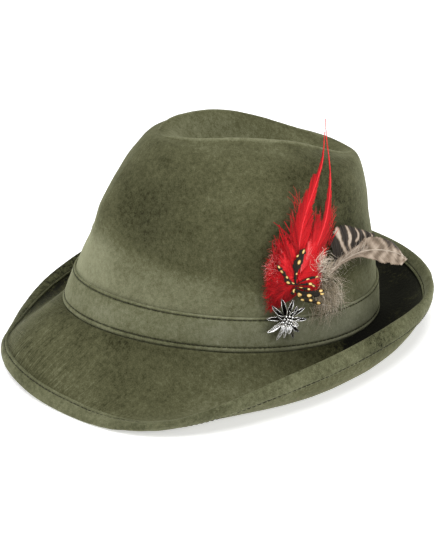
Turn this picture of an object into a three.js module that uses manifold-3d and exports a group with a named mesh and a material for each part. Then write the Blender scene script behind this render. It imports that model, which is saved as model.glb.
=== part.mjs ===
// A tyrolean hat in millimetres: creased crown, curled brim with a folded hem, hat band and feather trim.
// In the hat's own frame the origin is the head's centre at the brim's seam, the front is -Y and the trim is at
// +X. The hat then stands on its brim: its whole group is tipped and lifted on to the plane z = 0.

import * as THREE from "three";
import { mergeVertices } from "three/addons/utils/BufferGeometryUtils.js";
import Module from "manifold-3d";

const wasm = await Module();
wasm.setup();

// Cloth and clearances
const felt = 2;
const bandCloth = 1.2;
const hemCloth = 1;
const gap = 0.3;

// Crown, with its foot measured outside, where the brim is sewn on
const footLength = 197;
const footWidth = 169;
const footEgg = 0.113;
const seamDip = 1.5;
const crownHeight = 105;
const pinchDepth = 6.5;
const pinchAngle = 27;
const pinchSpread = 13;
const pinchHeight = 66;
const pinchTall = 19;

// Hat band, and brim with its breadth along the cloth in front
const bandHeight = 20;
const brimBreadth = 51.6;
const brimTurn = 1.22;
const hemBreadth = 9;
const restFlat = 0.8;
const balance = 10;

// Pin on the wearer's left
const trimAngle = 91.5;
const pinDiameter = 24;
const outerPetals = 11;
const innerPetals = 6;
const petalWidth = 2.8;
const petalThickness = 1.3;
const petalCup = 1.5;
const innerCup = 2.2;
const beadDiameter = 1.9;
const pinStand = 3.4;
const pinLean = 12;
const postDiameter = 4;
const discThickness = 1.2;

// Feathers, with lengths measured from the pin
const downLength = 42;
const downThickness = 0.8;
const plumeLength = 108.5;
const plumeThickness = 5;
const lockThickness = 1.2;
const lockWidth = 3.2;
const barredLength = 74;
const barredWidth = 26;
const vaneThickness = 0.8;
const spottedLength = 38;
const spottedWidth = 5;

// Mesh steps
const around = 52;
const crownSteps = 18;
const brimSteps = 6;

// Crown sections from the foot over the ridge to the floor of the centre dent. Front and back are shares of
// half the foot's length, side is a share of half its width, and heights are shares of the crown's height.
const bandShare = bandHeight / crownHeight;
const crownSections = [
  { front: 1, back: 1, side: 1, frontHeight: 0, backHeight: 0, ridge: 0 },
  { front: 0.932, back: 0.975, side: 0.968, frontHeight: bandShare, backHeight: bandShare, ridge: 0 },
  { front: 0.863, back: 0.938, side: 0.914, frontHeight: 0.4, backHeight: 0.4, ridge: 0 },
  { front: 0.804, back: 0.888, side: 0.9, frontHeight: 0.61, backHeight: 0.571, ridge: 0 },
  { front: 0.666, back: 0.849, side: 0.828, frontHeight: 0.823, backHeight: 0.733, ridge: 0 },
  { front: 0.533, back: 0.805, side: 0.704, frontHeight: 0.962, backHeight: 0.877, ridge: 0 },
  { front: 0.464, back: 0.76, side: 0.551, frontHeight: 0.993, backHeight: 0.882, ridge: 0.051 },
  { front: 0.415, back: 0.672, side: 0.4, frontHeight: 0.988, backHeight: 0.845, ridge: 0.1 },
  { front: 0.305, back: 0.589, side: 0.27, frontHeight: 0.959, backHeight: 0.811, ridge: -0.029 },
  { front: 0.203, back: 0.447, side: 0.118, frontHeight: 0.924, backHeight: 0.752, ridge: -0.048 },
  { front: 0.142, back: 0.365, side: 0.02, frontHeight: 0.914, backHeight: 0.743, ridge: -0.048 },
];

// Brim sections every 30 degrees from the front round to the back: the breadth as a share of the front's, and
// the cloth's slope in degrees where it leaves the band and at its edge.
const brimSections = [
  { breadth: 1, rootSlope: -20, edgeSlope: -69 },
  { breadth: 1.035, rootSlope: -49, edgeSlope: -28 },
  { breadth: 1.28, rootSlope: -64, edgeSlope: 38 },
  { breadth: 1.25, rootSlope: -64, edgeSlope: 108 },
  { breadth: 0.99, rootSlope: -42, edgeSlope: 129 },
  { breadth: 0.77, rootSlope: -2, edgeSlope: 85 },
  { breadth: 0.725, rootSlope: 9, edgeSlope: 68 },
];

// Feathers as paths of rows. Turn is in degrees from the pin towards the back, rise is a share of the feather's
// length over the pin, and off and the breadths beside the path are shares of its length and width.
const leftQuill = [
  { turn: 2.5, rise: 0.21, off: 0, above: 0.5, below: 0.5 },
  { turn: 1.8, rise: 0.4, off: 0, above: 1.6, below: 1.6 },
  { turn: 3.5, rise: 0.521, off: 0, above: 1.5, below: 1.3 },
  { turn: 6, rise: 0.594, off: 0, above: 1.1, below: 0.8 },
  { turn: 9, rise: 0.664, off: 0, above: 0.8, below: 0.5 },
  { turn: 11.5, rise: 0.742, off: 0, above: 0.4, below: 0.3 },
  { turn: 13.5, rise: 0.802, off: 0, above: 0.25, below: 0.25 },
  { turn: 13.4, rise: 0.935, off: 0, above: 0, below: 0 },
];
const rightQuill = [
  { turn: 5.5, rise: 0.21, off: 0, above: 0.5, below: 0.5 },
  { turn: 12, rise: 0.39, off: 0, above: 1.5, below: 1.1 },
  { turn: 16.3, rise: 0.525, off: 0, above: 0.8, below: 0.4 },
  { turn: 16.7, rise: 0.631, off: 0, above: 0.45, below: 0.3 },
  { turn: 17.3, rise: 0.71, off: 0, above: 0.3, below: 0.2 },
  { turn: 17, rise: 0.811, off: 0, above: 0.2, below: 0.2 },
  { turn: 14.4, rise: 1, off: 0, above: 0, below: 0 },
];
const barredVane = [
  { turn: 17, rise: 0.284, off: 0, above: 0.05, below: 0.05 },
  { turn: 22, rise: 0.372, off: 0.008, above: 0.45, below: 0.08 },
  { turn: 26.2, rise: 0.412, off: 0.031, above: 0.6, below: 0.13 },
  { turn: 30, rise: 0.449, off: 0.069, above: 0.56, below: 0.2 },
  { turn: 33.8, rise: 0.453, off: 0.107, above: 0.31, below: 0.29 },
  { turn: 37.8, rise: 0.416, off: 0.147, above: 0.22, below: 0.36 },
  { turn: 42.8, rise: 0.345, off: 0.199, above: 0.23, below: 0.31 },
  { turn: 46.5, rise: 0.277, off: 0.236, above: 0.16, below: 0.17 },
  { turn: 49, rise: 0.23, off: 0.261, above: 0, below: 0 },
];

// Ends of the locks that stand out round each tuft, and of the spotted feathers.
const plumeEnds = [
  { turn: -4, rise: 0.05 },
  { turn: -8.5, rise: 0.1 },
  { turn: -9.5, rise: 0.18 },
  { turn: -9.5, rise: 0.27 },
  { turn: -9.5, rise: 0.36 },
  { turn: -8.5, rise: 0.45 },
  { turn: -8, rise: 0.535 },
  { turn: -4, rise: 0.47 },
  { turn: 0, rise: 0.6 },
  { turn: 8.5, rise: 0.5 },
  { turn: 14.5, rise: 0.4 },
  { turn: 15.5, rise: 0.3 },
  { turn: 14.5, rise: 0.2 },
  { turn: 12.5, rise: 0.1 },
  { turn: 6, rise: 0.07 },
];
const downEnds = [
  { turn: 33, rise: 0.12 },
  { turn: 33.5, rise: 0.4 },
  { turn: 29, rise: 0.7 },
  { turn: 16, rise: 0.88 },
  { turn: -4, rise: 0.78 },
  { turn: -9.5, rise: 0.48 },
  { turn: 9, rise: -0.12 },
  { turn: 13.5, rise: -0.24 },
  { turn: 21, rise: -0.2 },
  { turn: 28, rise: -0.14 },
];
const spottedEnds = [
  { turn: 3.1, rise: 1 },
  { turn: -4.5, rise: 0.84 },
  { turn: 7.8, rise: 0.52 },
  { turn: 12, rise: 0.38 },
  { turn: 10.5, rise: 0.2 },
  { turn: -1.5, rise: 0.5 },
];

const { degToRad, clamp } = THREE.MathUtils;

function catmullRom(before, from, to, after, share) {
  const leave = (to - before) / 2;
  const arrive = (after - from) / 2;
  const cubic = 2 * (from - to) + leave + arrive;
  const square = 3 * (to - from) - 2 * leave - arrive;
  return from + share * (leave + share * (square + share * cubic));
}

// Smooth curve through one column of equally spaced rows, which go on past the table's ends as a straight line
// or, where the table is mirrored, as its mirror image.
function alongRows(rows, column, position, mirrored = false) {
  const last = rows.length - 1;
  const value = (k) => {
    const inside = k < 0 ? -k : k > last ? 2 * last - k : k;
    if (mirrored || inside === k) return rows[inside][column];
    return 2 * rows[k < 0 ? 0 : last][column] - rows[inside][column];
  };
  const place = clamp(position, 0, 1) * last;
  const k = Math.min(Math.floor(place), last - 1);
  return catmullRom(value(k - 1), value(k), value(k + 1), value(k + 2), place - k);
}

// The head's oval and the seam on it

function seamHeight(angle) {
  return seamDip * Math.cos(2 * angle);
}

function ovalPoint(angle, front, back, side, egg) {
  const cosine = Math.cos(angle);
  const x = side * Math.sin(angle) * (1 - egg * cosine);
  const y = (back - front) / 2 - ((back + front) / 2) * cosine;
  return new THREE.Vector3(x, y, 0);
}

function footPoint(angle) {
  return ovalPoint(angle, footLength / 2, footLength / 2, footWidth / 2, footEgg);
}

function footOutward(angle) {
  const step = 0.001;
  const along = footPoint(angle + step).sub(footPoint(angle - step));
  return new THREE.Vector3(along.y, -along.x, 0).normalize();
}

// The crown's outside, with rise 0 at the foot and 1 on the dent's floor

const ridgeRise = 0.8;

function pinchAt(angle, height, rise) {
  const turn = Math.abs(Math.atan2(Math.sin(angle), Math.cos(angle)));
  const aside = (turn - degToRad(pinchAngle)) / degToRad(pinchSpread);
  const above = (height - pinchHeight) / pinchTall;
  const fade = clamp((ridgeRise - rise) / (ridgeRise - 0.5), 0, 1);
  return pinchDepth * fade * Math.exp(-(aside ** 2 + above ** 2) / 2);
}

function crownOutside(angle, rise) {
  const row = (column) => alongRows(crownSections, column, rise);
  const front = (1 + Math.cos(angle)) / 2;
  const height =
    crownHeight *
    (row("frontHeight") * front + row("backHeight") * (1 - front) + row("ridge") * Math.sin(angle) ** 2);
  const point = ovalPoint(
    angle,
    (row("front") * footLength) / 2,
    (row("back") * footLength) / 2,
    (row("side") * footWidth) / 2,
    footEgg * (1 - rise),
  );
  const pinch = pinchAt(angle, height, rise);
  point.x -= pinch * Math.sin(angle);
  point.y += pinch * Math.cos(angle);
  point.z = height + seamHeight(angle) * clamp(1 - 4 * rise, 0, 1);
  return point;
}

function crownUpward(angle, rise) {
  const step = 0.001;
  const low = crownOutside(angle, Math.max(rise - step, 0));
  return crownOutside(angle, Math.min(rise + step, 1)).sub(low).normalize();
}

function crownOutward(angle, rise) {
  const step = 0.001;
  const along = crownOutside(angle + step, rise).sub(crownOutside(angle - step, rise));
  return along.cross(crownUpward(angle, rise)).normalize();
}

function crownOffset(angle, rise, off) {
  return crownOutside(angle, rise).addScaledVector(crownOutward(angle, rise), off);
}

// The rise at which the wall stands at a height over the seam, found by halving.
function riseAt(angle, height) {
  let low = 0;
  let high = 0.5;
  for (let k = 0; k < 24; k++) {
    const middle = (low + high) / 2;
    if (crownOutside(angle, middle).z - seamHeight(angle) < height) low = middle;
    else high = middle;
  }
  return low;
}

function onCrown(angle, height, off) {
  return crownOffset(angle, riseAt(angle, height), off);
}

// Closed meshes from rings, and solids fused from them

const angles = Array.from({ length: around }, (_, i) => (2 * Math.PI * i) / around);

function geometryOf(points, index) {
  const geometry = new THREE.BufferGeometry().setFromPoints(points);
  geometry.setIndex(index);
  return geometry;
}

// Rings run anticlockwise seen from above, and follow each other anticlockwise round the section. The last
// ring joins the first, or both are closed by strips from one side of the hat to the other. Faces are split
// the same way on both sides of a wall, whichever way the section runs there, so that layers stay parallel.
function loft(rings, joined, runsOutward = () => true) {
  const count = rings[0].length;
  const index = [];
  const quad = (a, b, c, d) => {
    if (a !== b) index.push(a, b, c);
    if (c !== d) index.push(a, c, d);
  };
  const rows = joined ? rings.length : rings.length - 1;
  for (let j = 0; j < rows; j++) {
    const low = j * count;
    const high = ((j + 1) % rings.length) * count;
    for (let i = 0; i < count; i++) {
      const next = (i + 1) % count;
      if (runsOutward(j)) quad(low + i, low + next, high + next, high + i);
      else quad(low + next, high + next, high + i, low + i);
    }
  }
  const top = (rings.length - 1) * count;
  for (let i = 0; !joined && i < count / 2; i++) {
    const across = (count - i) % count;
    const nextAcross = count - i - 1;
    quad(across, nextAcross, i + 1, i);
    quad(top + i, top + i + 1, top + nextAcross, top + across);
  }
  return geometryOf(rings.flat(), index);
}

// Sections are rows { point, along }, with along growing from the crown towards the brim's edge.
function sweepRound(sectionAt) {
  const sections = angles.map(sectionAt);
  const rings = sections[0].map((_, j) => sections.map((section) => section[j].point));
  const along = (j) => sections[0][j % rings.length].along;
  return loft(rings, true, (j) => along(j + 1) > along(j));
}

function solidOf(geometry) {
  const bare = new THREE.BufferGeometry();
  bare.setAttribute("position", geometry.getAttribute("position"));
  bare.setIndex(geometry.index);
  const merged = mergeVertices(bare, 1e-4);
  return new wasm.Manifold(
    new wasm.Mesh({
      numProp: 3,
      vertProperties: merged.attributes.position.array,
      triVerts: new Uint32Array(merged.index.array),
    }),
  );
}

function geometryFrom(solid) {
  const mesh = solid.getMesh();
  const geometry = new THREE.BufferGeometry();
  geometry.setAttribute("position", new THREE.BufferAttribute(mesh.vertProperties, mesh.numProp));
  geometry.setIndex(new THREE.BufferAttribute(mesh.triVerts, 1));
  return geometry;
}

function fuse(geometries) {
  return geometryFrom(geometries.map(solidOf).reduce((whole, part) => whole.add(part)));
}

// Crown: inside from the dent down to the foot, then outside back up

function crownGeometry() {
  const rises = Array.from({ length: crownSteps + 1 }, (_, j) => j / crownSteps);
  const below = new THREE.Vector3(0, 0, -1);
  const ring = (rise, off, drop = 0) =>
    angles.map((angle) => crownOffset(angle, rise, off).addScaledVector(below, drop));
  const inside = rises.map((rise) => ring(rise, -felt)).reverse();
  const outside = rises.map((rise) => ring(rise, 0));
  return loft([...inside, ring(0, -felt, felt), ring(0, 0, felt), ...outside], false);
}

// Brim: its top starts under the band, and the cloth turns steadily from its root to its edge

const bandProud = gap + bandCloth;
const hemEnd = gap + hemCloth;

function brimLine(angle) {
  const turn = Math.abs(Math.atan2(Math.sin(angle), Math.cos(angle))) / Math.PI;
  const side = (column) => alongRows(brimSections, column, turn, true);
  const breadth = brimBreadth * side("breadth");
  const root = degToRad(side("rootSlope"));
  const edge = degToRad(side("edgeSlope"));
  const slopeAt = (share) => root + (edge - root) * share ** brimTurn;
  const foot = footPoint(angle).setZ(seamHeight(angle));
  const outward = footOutward(angle);
  const inSpace = (out, up) => foot.clone().addScaledVector(outward, out).add(new THREE.Vector3(0, 0, up));
  const walk = (length) => {
    const steps = 40;
    let out = bandProud;
    let up = 0;
    for (let k = 0; k < steps; k++) {
      const slope = slopeAt((((k + 0.5) / steps) * length) / breadth);
      out += (Math.cos(slope) * length) / steps;
      up += (Math.sin(slope) * length) / steps;
    }
    return { out, up, slope: slopeAt(length / breadth) };
  };
  const flat = (out, up) => ({ point: inSpace(out, up), along: out - bandProud });
  // A point at a length along the cloth's top face, lifted off it and moved on along it.
  const at = (length, lift, on = 0) => {
    const { out, up, slope } = walk(length);
    const point = inSpace(
      out + on * Math.cos(slope) - lift * Math.sin(slope),
      up + on * Math.sin(slope) + lift * Math.cos(slope),
    );
    return { point, along: length + on };
  };
  return { breadth, root, flat, at };
}

function brimSection(angle) {
  const { breadth, root, flat, at } = brimLine(angle);
  const hemStart = breadth - hemBreadth;
  const edge = breadth - hemEnd;
  const lengths = Array.from({ length: brimSteps }, (_, k) => ((k + 1) / brimSteps) * hemStart);
  lengths.push((hemStart + edge) / 2, edge);
  const bottomBend = bandProud + felt * Math.tan(root / 2);
  return [
    flat(gap, -felt),
    flat(bottomBend, -felt),
    ...lengths.map((length) => at(length, -felt)),
    ...lengths.reverse().map((length) => at(length, 0)),
    flat(bandProud, 0),
    flat(gap, 0),
  ];
}

function hemSection(angle) {
  const { breadth, at } = brimLine(angle);
  const start = breadth - hemBreadth;
  const edge = breadth - hemEnd;
  const middle = (start + edge) / 2;
  const radius = felt / 2 + hemEnd;
  const roundStart = breadth - radius;
  const lower = -felt - hemEnd;
  const round = [-60, 0, 60].map((degrees) => {
    const turn = degToRad(degrees);
    return at(roundStart, radius * Math.sin(turn) - felt / 2, radius * Math.cos(turn));
  });
  return [
    at(start, lower),
    at(middle, lower),
    ...round,
    at(middle, hemEnd),
    at(start, hemEnd),
    at(start, gap),
    at(middle, gap),
    at(edge, gap, gap),
    at(edge, -felt - gap, gap),
    at(middle, -felt - gap),
    at(start, -felt - gap),
  ];
}

// Hat band: it follows the crown's wall and clears the brim by the same gap

function bandSection(angle) {
  const heights = [gap, (gap + bandHeight) / 2, bandHeight];
  const face = (off) => heights.map((height) => ({ point: onCrown(angle, height, off), along: height }));
  return [...face(gap).reverse(), ...face(bandProud)];
}

// Trim: each layer lies on the one below it

const downSeat = bandProud + gap;
const plumeSeat = downSeat + downThickness + gap;
const stemSeat = plumeSeat + lockThickness + gap;
const spottedSeat = plumeSeat + plumeThickness + gap;
const freeHeight = 0.58 * crownHeight;
const degreeLength = (Math.PI * footLength) / 360;

// A point at x along the band from the pin, y over the pin and z off the crown. Past the free height feathers go
// straight on and leave the crown.
function onTrim(x, y, z) {
  const angle = degToRad(trimAngle + x / degreeLength);
  const height = bandHeight + y;
  const held = Math.min(height, freeHeight);
  const point = onCrown(angle, held, z);
  return point.addScaledVector(crownUpward(angle, riseAt(angle, held)), height - held);
}

function asGiven(x, y, z) {
  return new THREE.Vector3(x, y, z);
}

// A flat blade with sharp edges along a path of rows { x, y, z, above, below }, pointed at its end.
function blade(path, thickness, place) {
  const points = [];
  path.forEach((here, k) => {
    const from = path[Math.max(k - 1, 0)];
    const to = path[Math.min(k + 1, path.length - 1)];
    const ahead = new THREE.Vector2(to.x - from.x, to.y - from.y).normalize();
    const middle = here.z + thickness / 2;
    const beside = (breadth) => place(here.x - ahead.y * breadth, here.y + ahead.x * breadth, middle);
    if (k === path.length - 1) {
      points.push(place(here.x, here.y, middle));
      return;
    }
    points.push(
      place(here.x, here.y, here.z),
      beside(-here.below),
      place(here.x, here.y, here.z + thickness),
      beside(here.above),
    );
  });
  const index = [0, 1, 2, 0, 2, 3];
  const tip = 4 * (path.length - 1);
  for (let start = 0; start < tip; start += 4) {
    for (let i = 0; i < 4; i++) {
      const a = start + i;
      const b = start + ((i + 1) % 4);
      if (start + 4 === tip) index.push(b, a, tip);
      else index.push(b, a, a + 4, b, a + 4, b + 4);
    }
  }
  return geometryOf(points, index);
}

function trimPath(rows, length, width, seat) {
  return rows.map(({ turn, rise, off, above, below }) => ({
    x: turn * degreeLength,
    y: rise * length,
    z: seat + off * length,
    above: above * width,
    below: below * width,
  }));
}

// A flattened pad in the trim, given by its middle and its whole size.
function pad({ x, y, z, width, height, thickness }) {
  const ball = new THREE.SphereGeometry(1, 12, 4);
  const corners = ball.getAttribute("position");
  for (let i = 0; i < corners.count; i++) {
    const across = (corners.getX(i) * width) / 2;
    const upward = (corners.getY(i) * height) / 2;
    const outward = ((1 + corners.getZ(i)) * thickness) / 2;
    const point = onTrim(x + across, y + upward, z + outward);
    corners.setXYZ(i, point.x, point.y, point.z);
  }
  return ball;
}

// Locks that run out from a pad's middle to their ends.
function locksOf(middle, ends, length, thickness) {
  return ends.map(({ turn, rise }) => {
    const end = { x: turn * degreeLength, y: rise * length };
    const row = (share, breadth) => ({
      x: middle.x + (end.x - middle.x) * share,
      y: middle.y + (end.y - middle.y) * share,
      z: middle.z,
      above: (lockWidth * breadth) / 2,
      below: (lockWidth * breadth) / 2,
    });
    return blade([row(0.1, 1), row(0.6, 1.5), row(1, 0)], thickness, onTrim);
  });
}

function downGeometry() {
  const middle = {
    x: 16 * degreeLength,
    y: 0.34 * downLength,
    z: downSeat,
    width: 0.8 * downLength,
    height: 0.72 * downLength,
    thickness: downThickness,
  };
  return fuse([pad(middle), ...locksOf(middle, downEnds, downLength, downThickness)]);
}

function plumeGeometry() {
  const middle = {
    x: 3.5 * degreeLength,
    y: 0.265 * plumeLength,
    z: plumeSeat,
    width: 0.28 * plumeLength,
    height: 0.28 * plumeLength,
    thickness: plumeThickness,
  };
  const quills = [leftQuill, rightQuill].map((rows) =>
    blade(trimPath(rows, plumeLength, lockWidth, plumeSeat), lockThickness, onTrim),
  );
  return fuse([pad(middle), ...locksOf(middle, plumeEnds, plumeLength, lockThickness), ...quills]);
}

function barredGeometry() {
  return blade(trimPath(barredVane, barredLength, barredWidth, plumeSeat), vaneThickness, onTrim);
}

// Spotted feathers: thin stems from under the pin climb over the plume and widen to an oval.
function spottedGeometry() {
  const root = { x: degreeLength, y: 0.15 * spottedLength };
  const shape = [
    { share: 0, climb: 0, breadth: 0.3 },
    { share: 0.3, climb: 0.8, breadth: 0.35 },
    { share: 0.65, climb: 1, breadth: 0.9 },
    { share: 0.87, climb: 1, breadth: 0.8 },
    { share: 1, climb: 1, breadth: 0 },
  ];
  const feathers = spottedEnds.map(({ turn, rise }) => {
    const end = { x: turn * degreeLength, y: rise * spottedLength };
    const path = shape.map(({ share, climb, breadth }) => ({
      x: root.x + (end.x - root.x) * share,
      y: root.y + (end.y - root.y) * share,
      z: stemSeat + (spottedSeat - stemSeat) * climb,
      above: (spottedWidth * breadth) / 2,
      below: (spottedWidth * breadth) / 2,
    }));
    return blade(path, vaneThickness, onTrim);
  });
  return fuse(feathers);
}

// Pin: a cast flower on a short post, with two rings of petals and a boss of beads

const discDiameter = 0.36 * pinDiameter;

function petal(turn, reach, width, low, high) {
  const root = 0.1 * pinDiameter;
  const rows = [
    { share: 0, breadth: 0.7 },
    { share: 0.45, breadth: 1 },
    { share: 0.8, breadth: 0.65 },
    { share: 1, breadth: 0 },
  ];
  const path = rows.map(({ share, breadth }) => {
    const radius = root + (reach - root) * share;
    return {
      x: radius * Math.cos(turn),
      y: radius * Math.sin(turn),
      z: low + (high - low) * share ** 2,
      above: (width * breadth) / 2,
      below: (width * breadth) / 2,
    };
  });
  return blade(path, petalThickness, asGiven);
}

function pinGeometry() {
  const parts = [];
  const post = new THREE.CylinderGeometry(postDiameter / 2, postDiameter / 2, pinStand + discThickness, 8);
  parts.push(post.rotateX(Math.PI / 2).translate(0, 0, (pinStand + discThickness) / 2));
  const disc = new THREE.CylinderGeometry(discDiameter / 2, discDiameter / 2, discThickness, 11);
  parts.push(disc.rotateX(Math.PI / 2).translate(0, 0, pinStand + discThickness / 2));
  for (let k = 0; k < outerPetals; k++) {
    const turn = (2 * Math.PI * (k + 0.3)) / outerPetals;
    const reach = (pinDiameter / 2) * (k % 2 ? 0.9 : 1);
    parts.push(petal(turn, reach, petalWidth, pinStand, pinStand + petalCup));
  }
  for (let k = 0; k < innerPetals; k++) {
    const turn = (2 * Math.PI * (k + 0.6)) / innerPetals;
    const low = pinStand + petalThickness * 0.6;
    parts.push(petal(turn, 0.34 * pinDiameter, petalWidth * 0.8, low, low + innerCup));
  }
  const beadHeight = pinStand + discThickness + 0.35 * beadDiameter;
  const bead = (radius, x, y, z) => parts.push(new THREE.SphereGeometry(radius, 6, 4).translate(x, y, z));
  bead(0.65 * beadDiameter, 0, 0, beadHeight + 0.2 * beadDiameter);
  for (let k = 0; k < 6; k++) {
    const turn = (Math.PI * k) / 3;
    bead(beadDiameter / 2, beadDiameter * Math.cos(turn), beadDiameter * Math.sin(turn), beadHeight);
  }
  return fuse(parts);
}

// The pieces

const hat = new THREE.Group();

function addPiece(name, geometry, color, roughness, metalness = 0) {
  const material = new THREE.MeshStandardMaterial({ color, roughness, metalness });
  const mesh = new THREE.Mesh(geometry, material);
  mesh.name = name;
  hat.add(mesh);
  return mesh;
}

addPiece("crown", crownGeometry(), 0x565842, 0.95);
const brim = addPiece("brim", sweepRound(brimSection), 0x565842, 0.95);
const hem = addPiece("brim_hem", sweepRound(hemSection), 0x666a53, 0.95);
addPiece("hat_band", sweepRound(bandSection), 0x666a53, 0.95);
addPiece("grey_down", downGeometry(), 0x8a8273, 0.9);
addPiece("red_plume", plumeGeometry(), 0xc8102a, 0.8);
addPiece("barred_feather", barredGeometry(), 0x8a7f70, 0.8);
addPiece("spotted_feathers", spottedGeometry(), 0x2c1c10, 0.7);
const pin = addPiece("edelweiss_pin", pinGeometry(), 0xb4b4ac, 0.3, 1);

const pinAngle = degToRad(trimAngle);
const pinRise = riseAt(pinAngle, bandHeight);
const pinOut = crownOutward(pinAngle, pinRise);
const pinUp = crownUpward(pinAngle, pinRise);
const pinAlong = pinUp.clone().cross(pinOut);
pin.position.copy(onCrown(pinAngle, bandHeight, downSeat));
pin.quaternion.setFromRotationMatrix(new THREE.Matrix4().makeBasis(pinAlong, pinUp, pinOut));
pin.rotateX(degToRad(pinLean));

// The hat's rest: its front edge and the sole behind its balance touch the ground

function corners(mesh) {
  const place = mesh.geometry.getAttribute("position");
  return Array.from({ length: place.count }, (_, i) => new THREE.Vector3().fromBufferAttribute(place, i));
}

const sole = [...corners(brim), ...corners(hem)];
const frontSole = sole.filter((corner) => corner.y < -footLength / 4);
const backSole = sole.filter((corner) => corner.y > balance);

function lowest(points, tip) {
  return Math.min(...points.map((point) => point.z * Math.cos(tip) + point.y * Math.sin(tip)));
}

function restTip() {
  let low = -Math.PI / 6;
  let high = Math.PI / 6;
  for (let k = 0; k < 30; k++) {
    const middle = (low + high) / 2;
    if (lowest(frontSole, middle) > lowest(backSole, middle)) low = middle;
    else high = middle;
  }
  return low;
}

hat.rotation.x = restTip();
hat.position.z = -lowest(sole, hat.rotation.x) - restFlat;
const box = new THREE.Box3().setFromObject(hat, true);
hat.position.x = -(box.min.x + box.max.x) / 2;
hat.position.y = -(box.min.y + box.max.y) / 2;
hat.updateMatrixWorld(true);

// The felt gives where it rests, so that it lies flat on the ground.
const brimReach = footLength + brimBreadth;

function flatten(mesh) {
  const under = new THREE.BoxGeometry(2 * brimReach, 2 * brimReach, brimReach);
  under.translate(0, 0, -brimReach / 2).applyMatrix4(hat.matrixWorld.clone().invert());
  mesh.geometry = geometryFrom(solidOf(mesh.geometry).subtract(solidOf(under)));
}

[brim, hem].forEach(flatten);

const tyroleanHat = new THREE.Group();
tyroleanHat.add(hat);

export default tyroleanHat;
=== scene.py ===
"""A tyrolean hat of olive-green imitation suede, standing on its brim.

The hat's own frame has its origin at the head's centre on the brim's seam, the front at -Y and the trim at +X,
in millimetres. The hat then stands tipped forward on its brim. Angles run from the front through +X.
"""

import math

import bpy
import numpy as np
from mathutils import Matrix, Vector


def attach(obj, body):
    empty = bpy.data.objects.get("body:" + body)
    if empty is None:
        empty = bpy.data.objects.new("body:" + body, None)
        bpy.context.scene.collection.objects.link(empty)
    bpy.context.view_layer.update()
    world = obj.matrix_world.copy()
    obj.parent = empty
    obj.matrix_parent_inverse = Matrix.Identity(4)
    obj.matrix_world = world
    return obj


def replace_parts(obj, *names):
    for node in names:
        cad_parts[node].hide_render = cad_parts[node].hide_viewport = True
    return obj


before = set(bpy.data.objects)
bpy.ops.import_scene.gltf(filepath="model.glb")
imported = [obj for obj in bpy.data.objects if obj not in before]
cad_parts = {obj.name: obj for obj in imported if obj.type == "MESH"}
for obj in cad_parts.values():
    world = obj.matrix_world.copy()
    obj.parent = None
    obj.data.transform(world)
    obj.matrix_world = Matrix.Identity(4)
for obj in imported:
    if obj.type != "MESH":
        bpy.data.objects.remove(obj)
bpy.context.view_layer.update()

MM = 0.001

# Sizes in millimetres, angles in degrees
FELT = 2.0
GAP = 0.3
BAND_CLOTH = 1.2
HEM_CLOTH = 1.0
FOOT_LENGTH = 197.0
FOOT_WIDTH = 169.0
FOOT_EGG = 0.113
SEAM_DIP = 1.5
CROWN_HEIGHT = 105.0
PINCH_DEPTH = 6.5
PINCH_ANGLE = 27.0
PINCH_SPREAD = 13.0
PINCH_HEIGHT = 66.0
PINCH_TALL = 19.0
RIDGE_RISE = 0.8
BAND_HEIGHT = 20.0
BRIM_BREADTH = 51.6
BRIM_TURN = 1.22
HEM_BREADTH = 9.0
TRIM_ANGLE = 91.5
CREASE = 1.3
BAND_PROUD = GAP + BAND_CLOTH
HEM_END = GAP + HEM_CLOTH

# Rest: the tip about X in degrees, and the shift that puts the brim on the floor
REST_TIP = -8.073
REST_SHIFT = (0.0, 3.87, 17.84)

# Crown sections from the foot over the ridge to the dent's floor: front and back as shares of half the foot's
# length, side as a share of half its width, heights as shares of the crown's height.
SHARE = BAND_HEIGHT / CROWN_HEIGHT
CROWN = np.array(
    [
        # front, back, side, front height, back height, ridge
        [1, 1, 1, 0, 0, 0],
        [0.932, 0.975, 0.968, SHARE, SHARE, 0],
        [0.863, 0.938, 0.914, 0.4, 0.4, 0],
        [0.804, 0.888, 0.9, 0.61, 0.571, 0],
        [0.666, 0.849, 0.828, 0.823, 0.733, 0],
        [0.533, 0.805, 0.704, 0.962, 0.877, 0],
        [0.464, 0.76, 0.551, 0.993, 0.882, 0.051],
        [0.415, 0.672, 0.4, 0.988, 0.845, 0.1],
        [0.305, 0.589, 0.27, 0.959, 0.811, -0.029],
        [0.203, 0.447, 0.118, 0.924, 0.752, -0.048],
        [0.142, 0.365, 0.02, 0.914, 0.743, -0.048],
    ]
)

# Brim sections every 30 degrees from front to back: breadth as a share of the front's, slope at root and edge.
BRIM = np.array(
    [
        [1, -20, -69],
        [1.035, -49, -28],
        [1.28, -64, 38],
        [1.25, -64, 108],
        [0.99, -42, 129],
        [0.77, -2, 85],
        [0.725, 9, 68],
    ]
)


# Smooth curves through equally spaced rows


def catmull_rom(before, start, end, after, share):
    leave = (end - before) / 2
    arrive = (after - start) / 2
    cubic = 2 * (start - end) + leave + arrive
    square = 3 * (end - start) - 2 * leave - arrive
    return start + share * (leave + share * (square + share * cubic))


# Points at places along a run, between rows that stand at the run's own places


def at_run(place, run, rows):
    return np.stack([np.interp(place, run, rows[:, k]) for k in range(3)], -1)


def along_rows(rows, position, mirrored=False):
    if mirrored:
        padded = np.concatenate([rows[1:2], rows, rows[-2:-1]])
    else:
        padded = np.concatenate([2 * rows[:1] - rows[1:2], rows, 2 * rows[-1:] - rows[-2:-1]])
    last = len(rows) - 1
    place = np.clip(np.asarray(position, float), 0, 1) * last
    k = np.minimum(np.floor(place).astype(int), last - 1)
    share = (place - k)[..., None]
    return catmull_rom(padded[k], padded[k + 1], padded[k + 2], padded[k + 3], share)


# The head's oval, the seam on it and the crown's outside


def normalised(v):
    return v / np.maximum(np.linalg.norm(v, axis=-1, keepdims=True), 1e-12)


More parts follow.
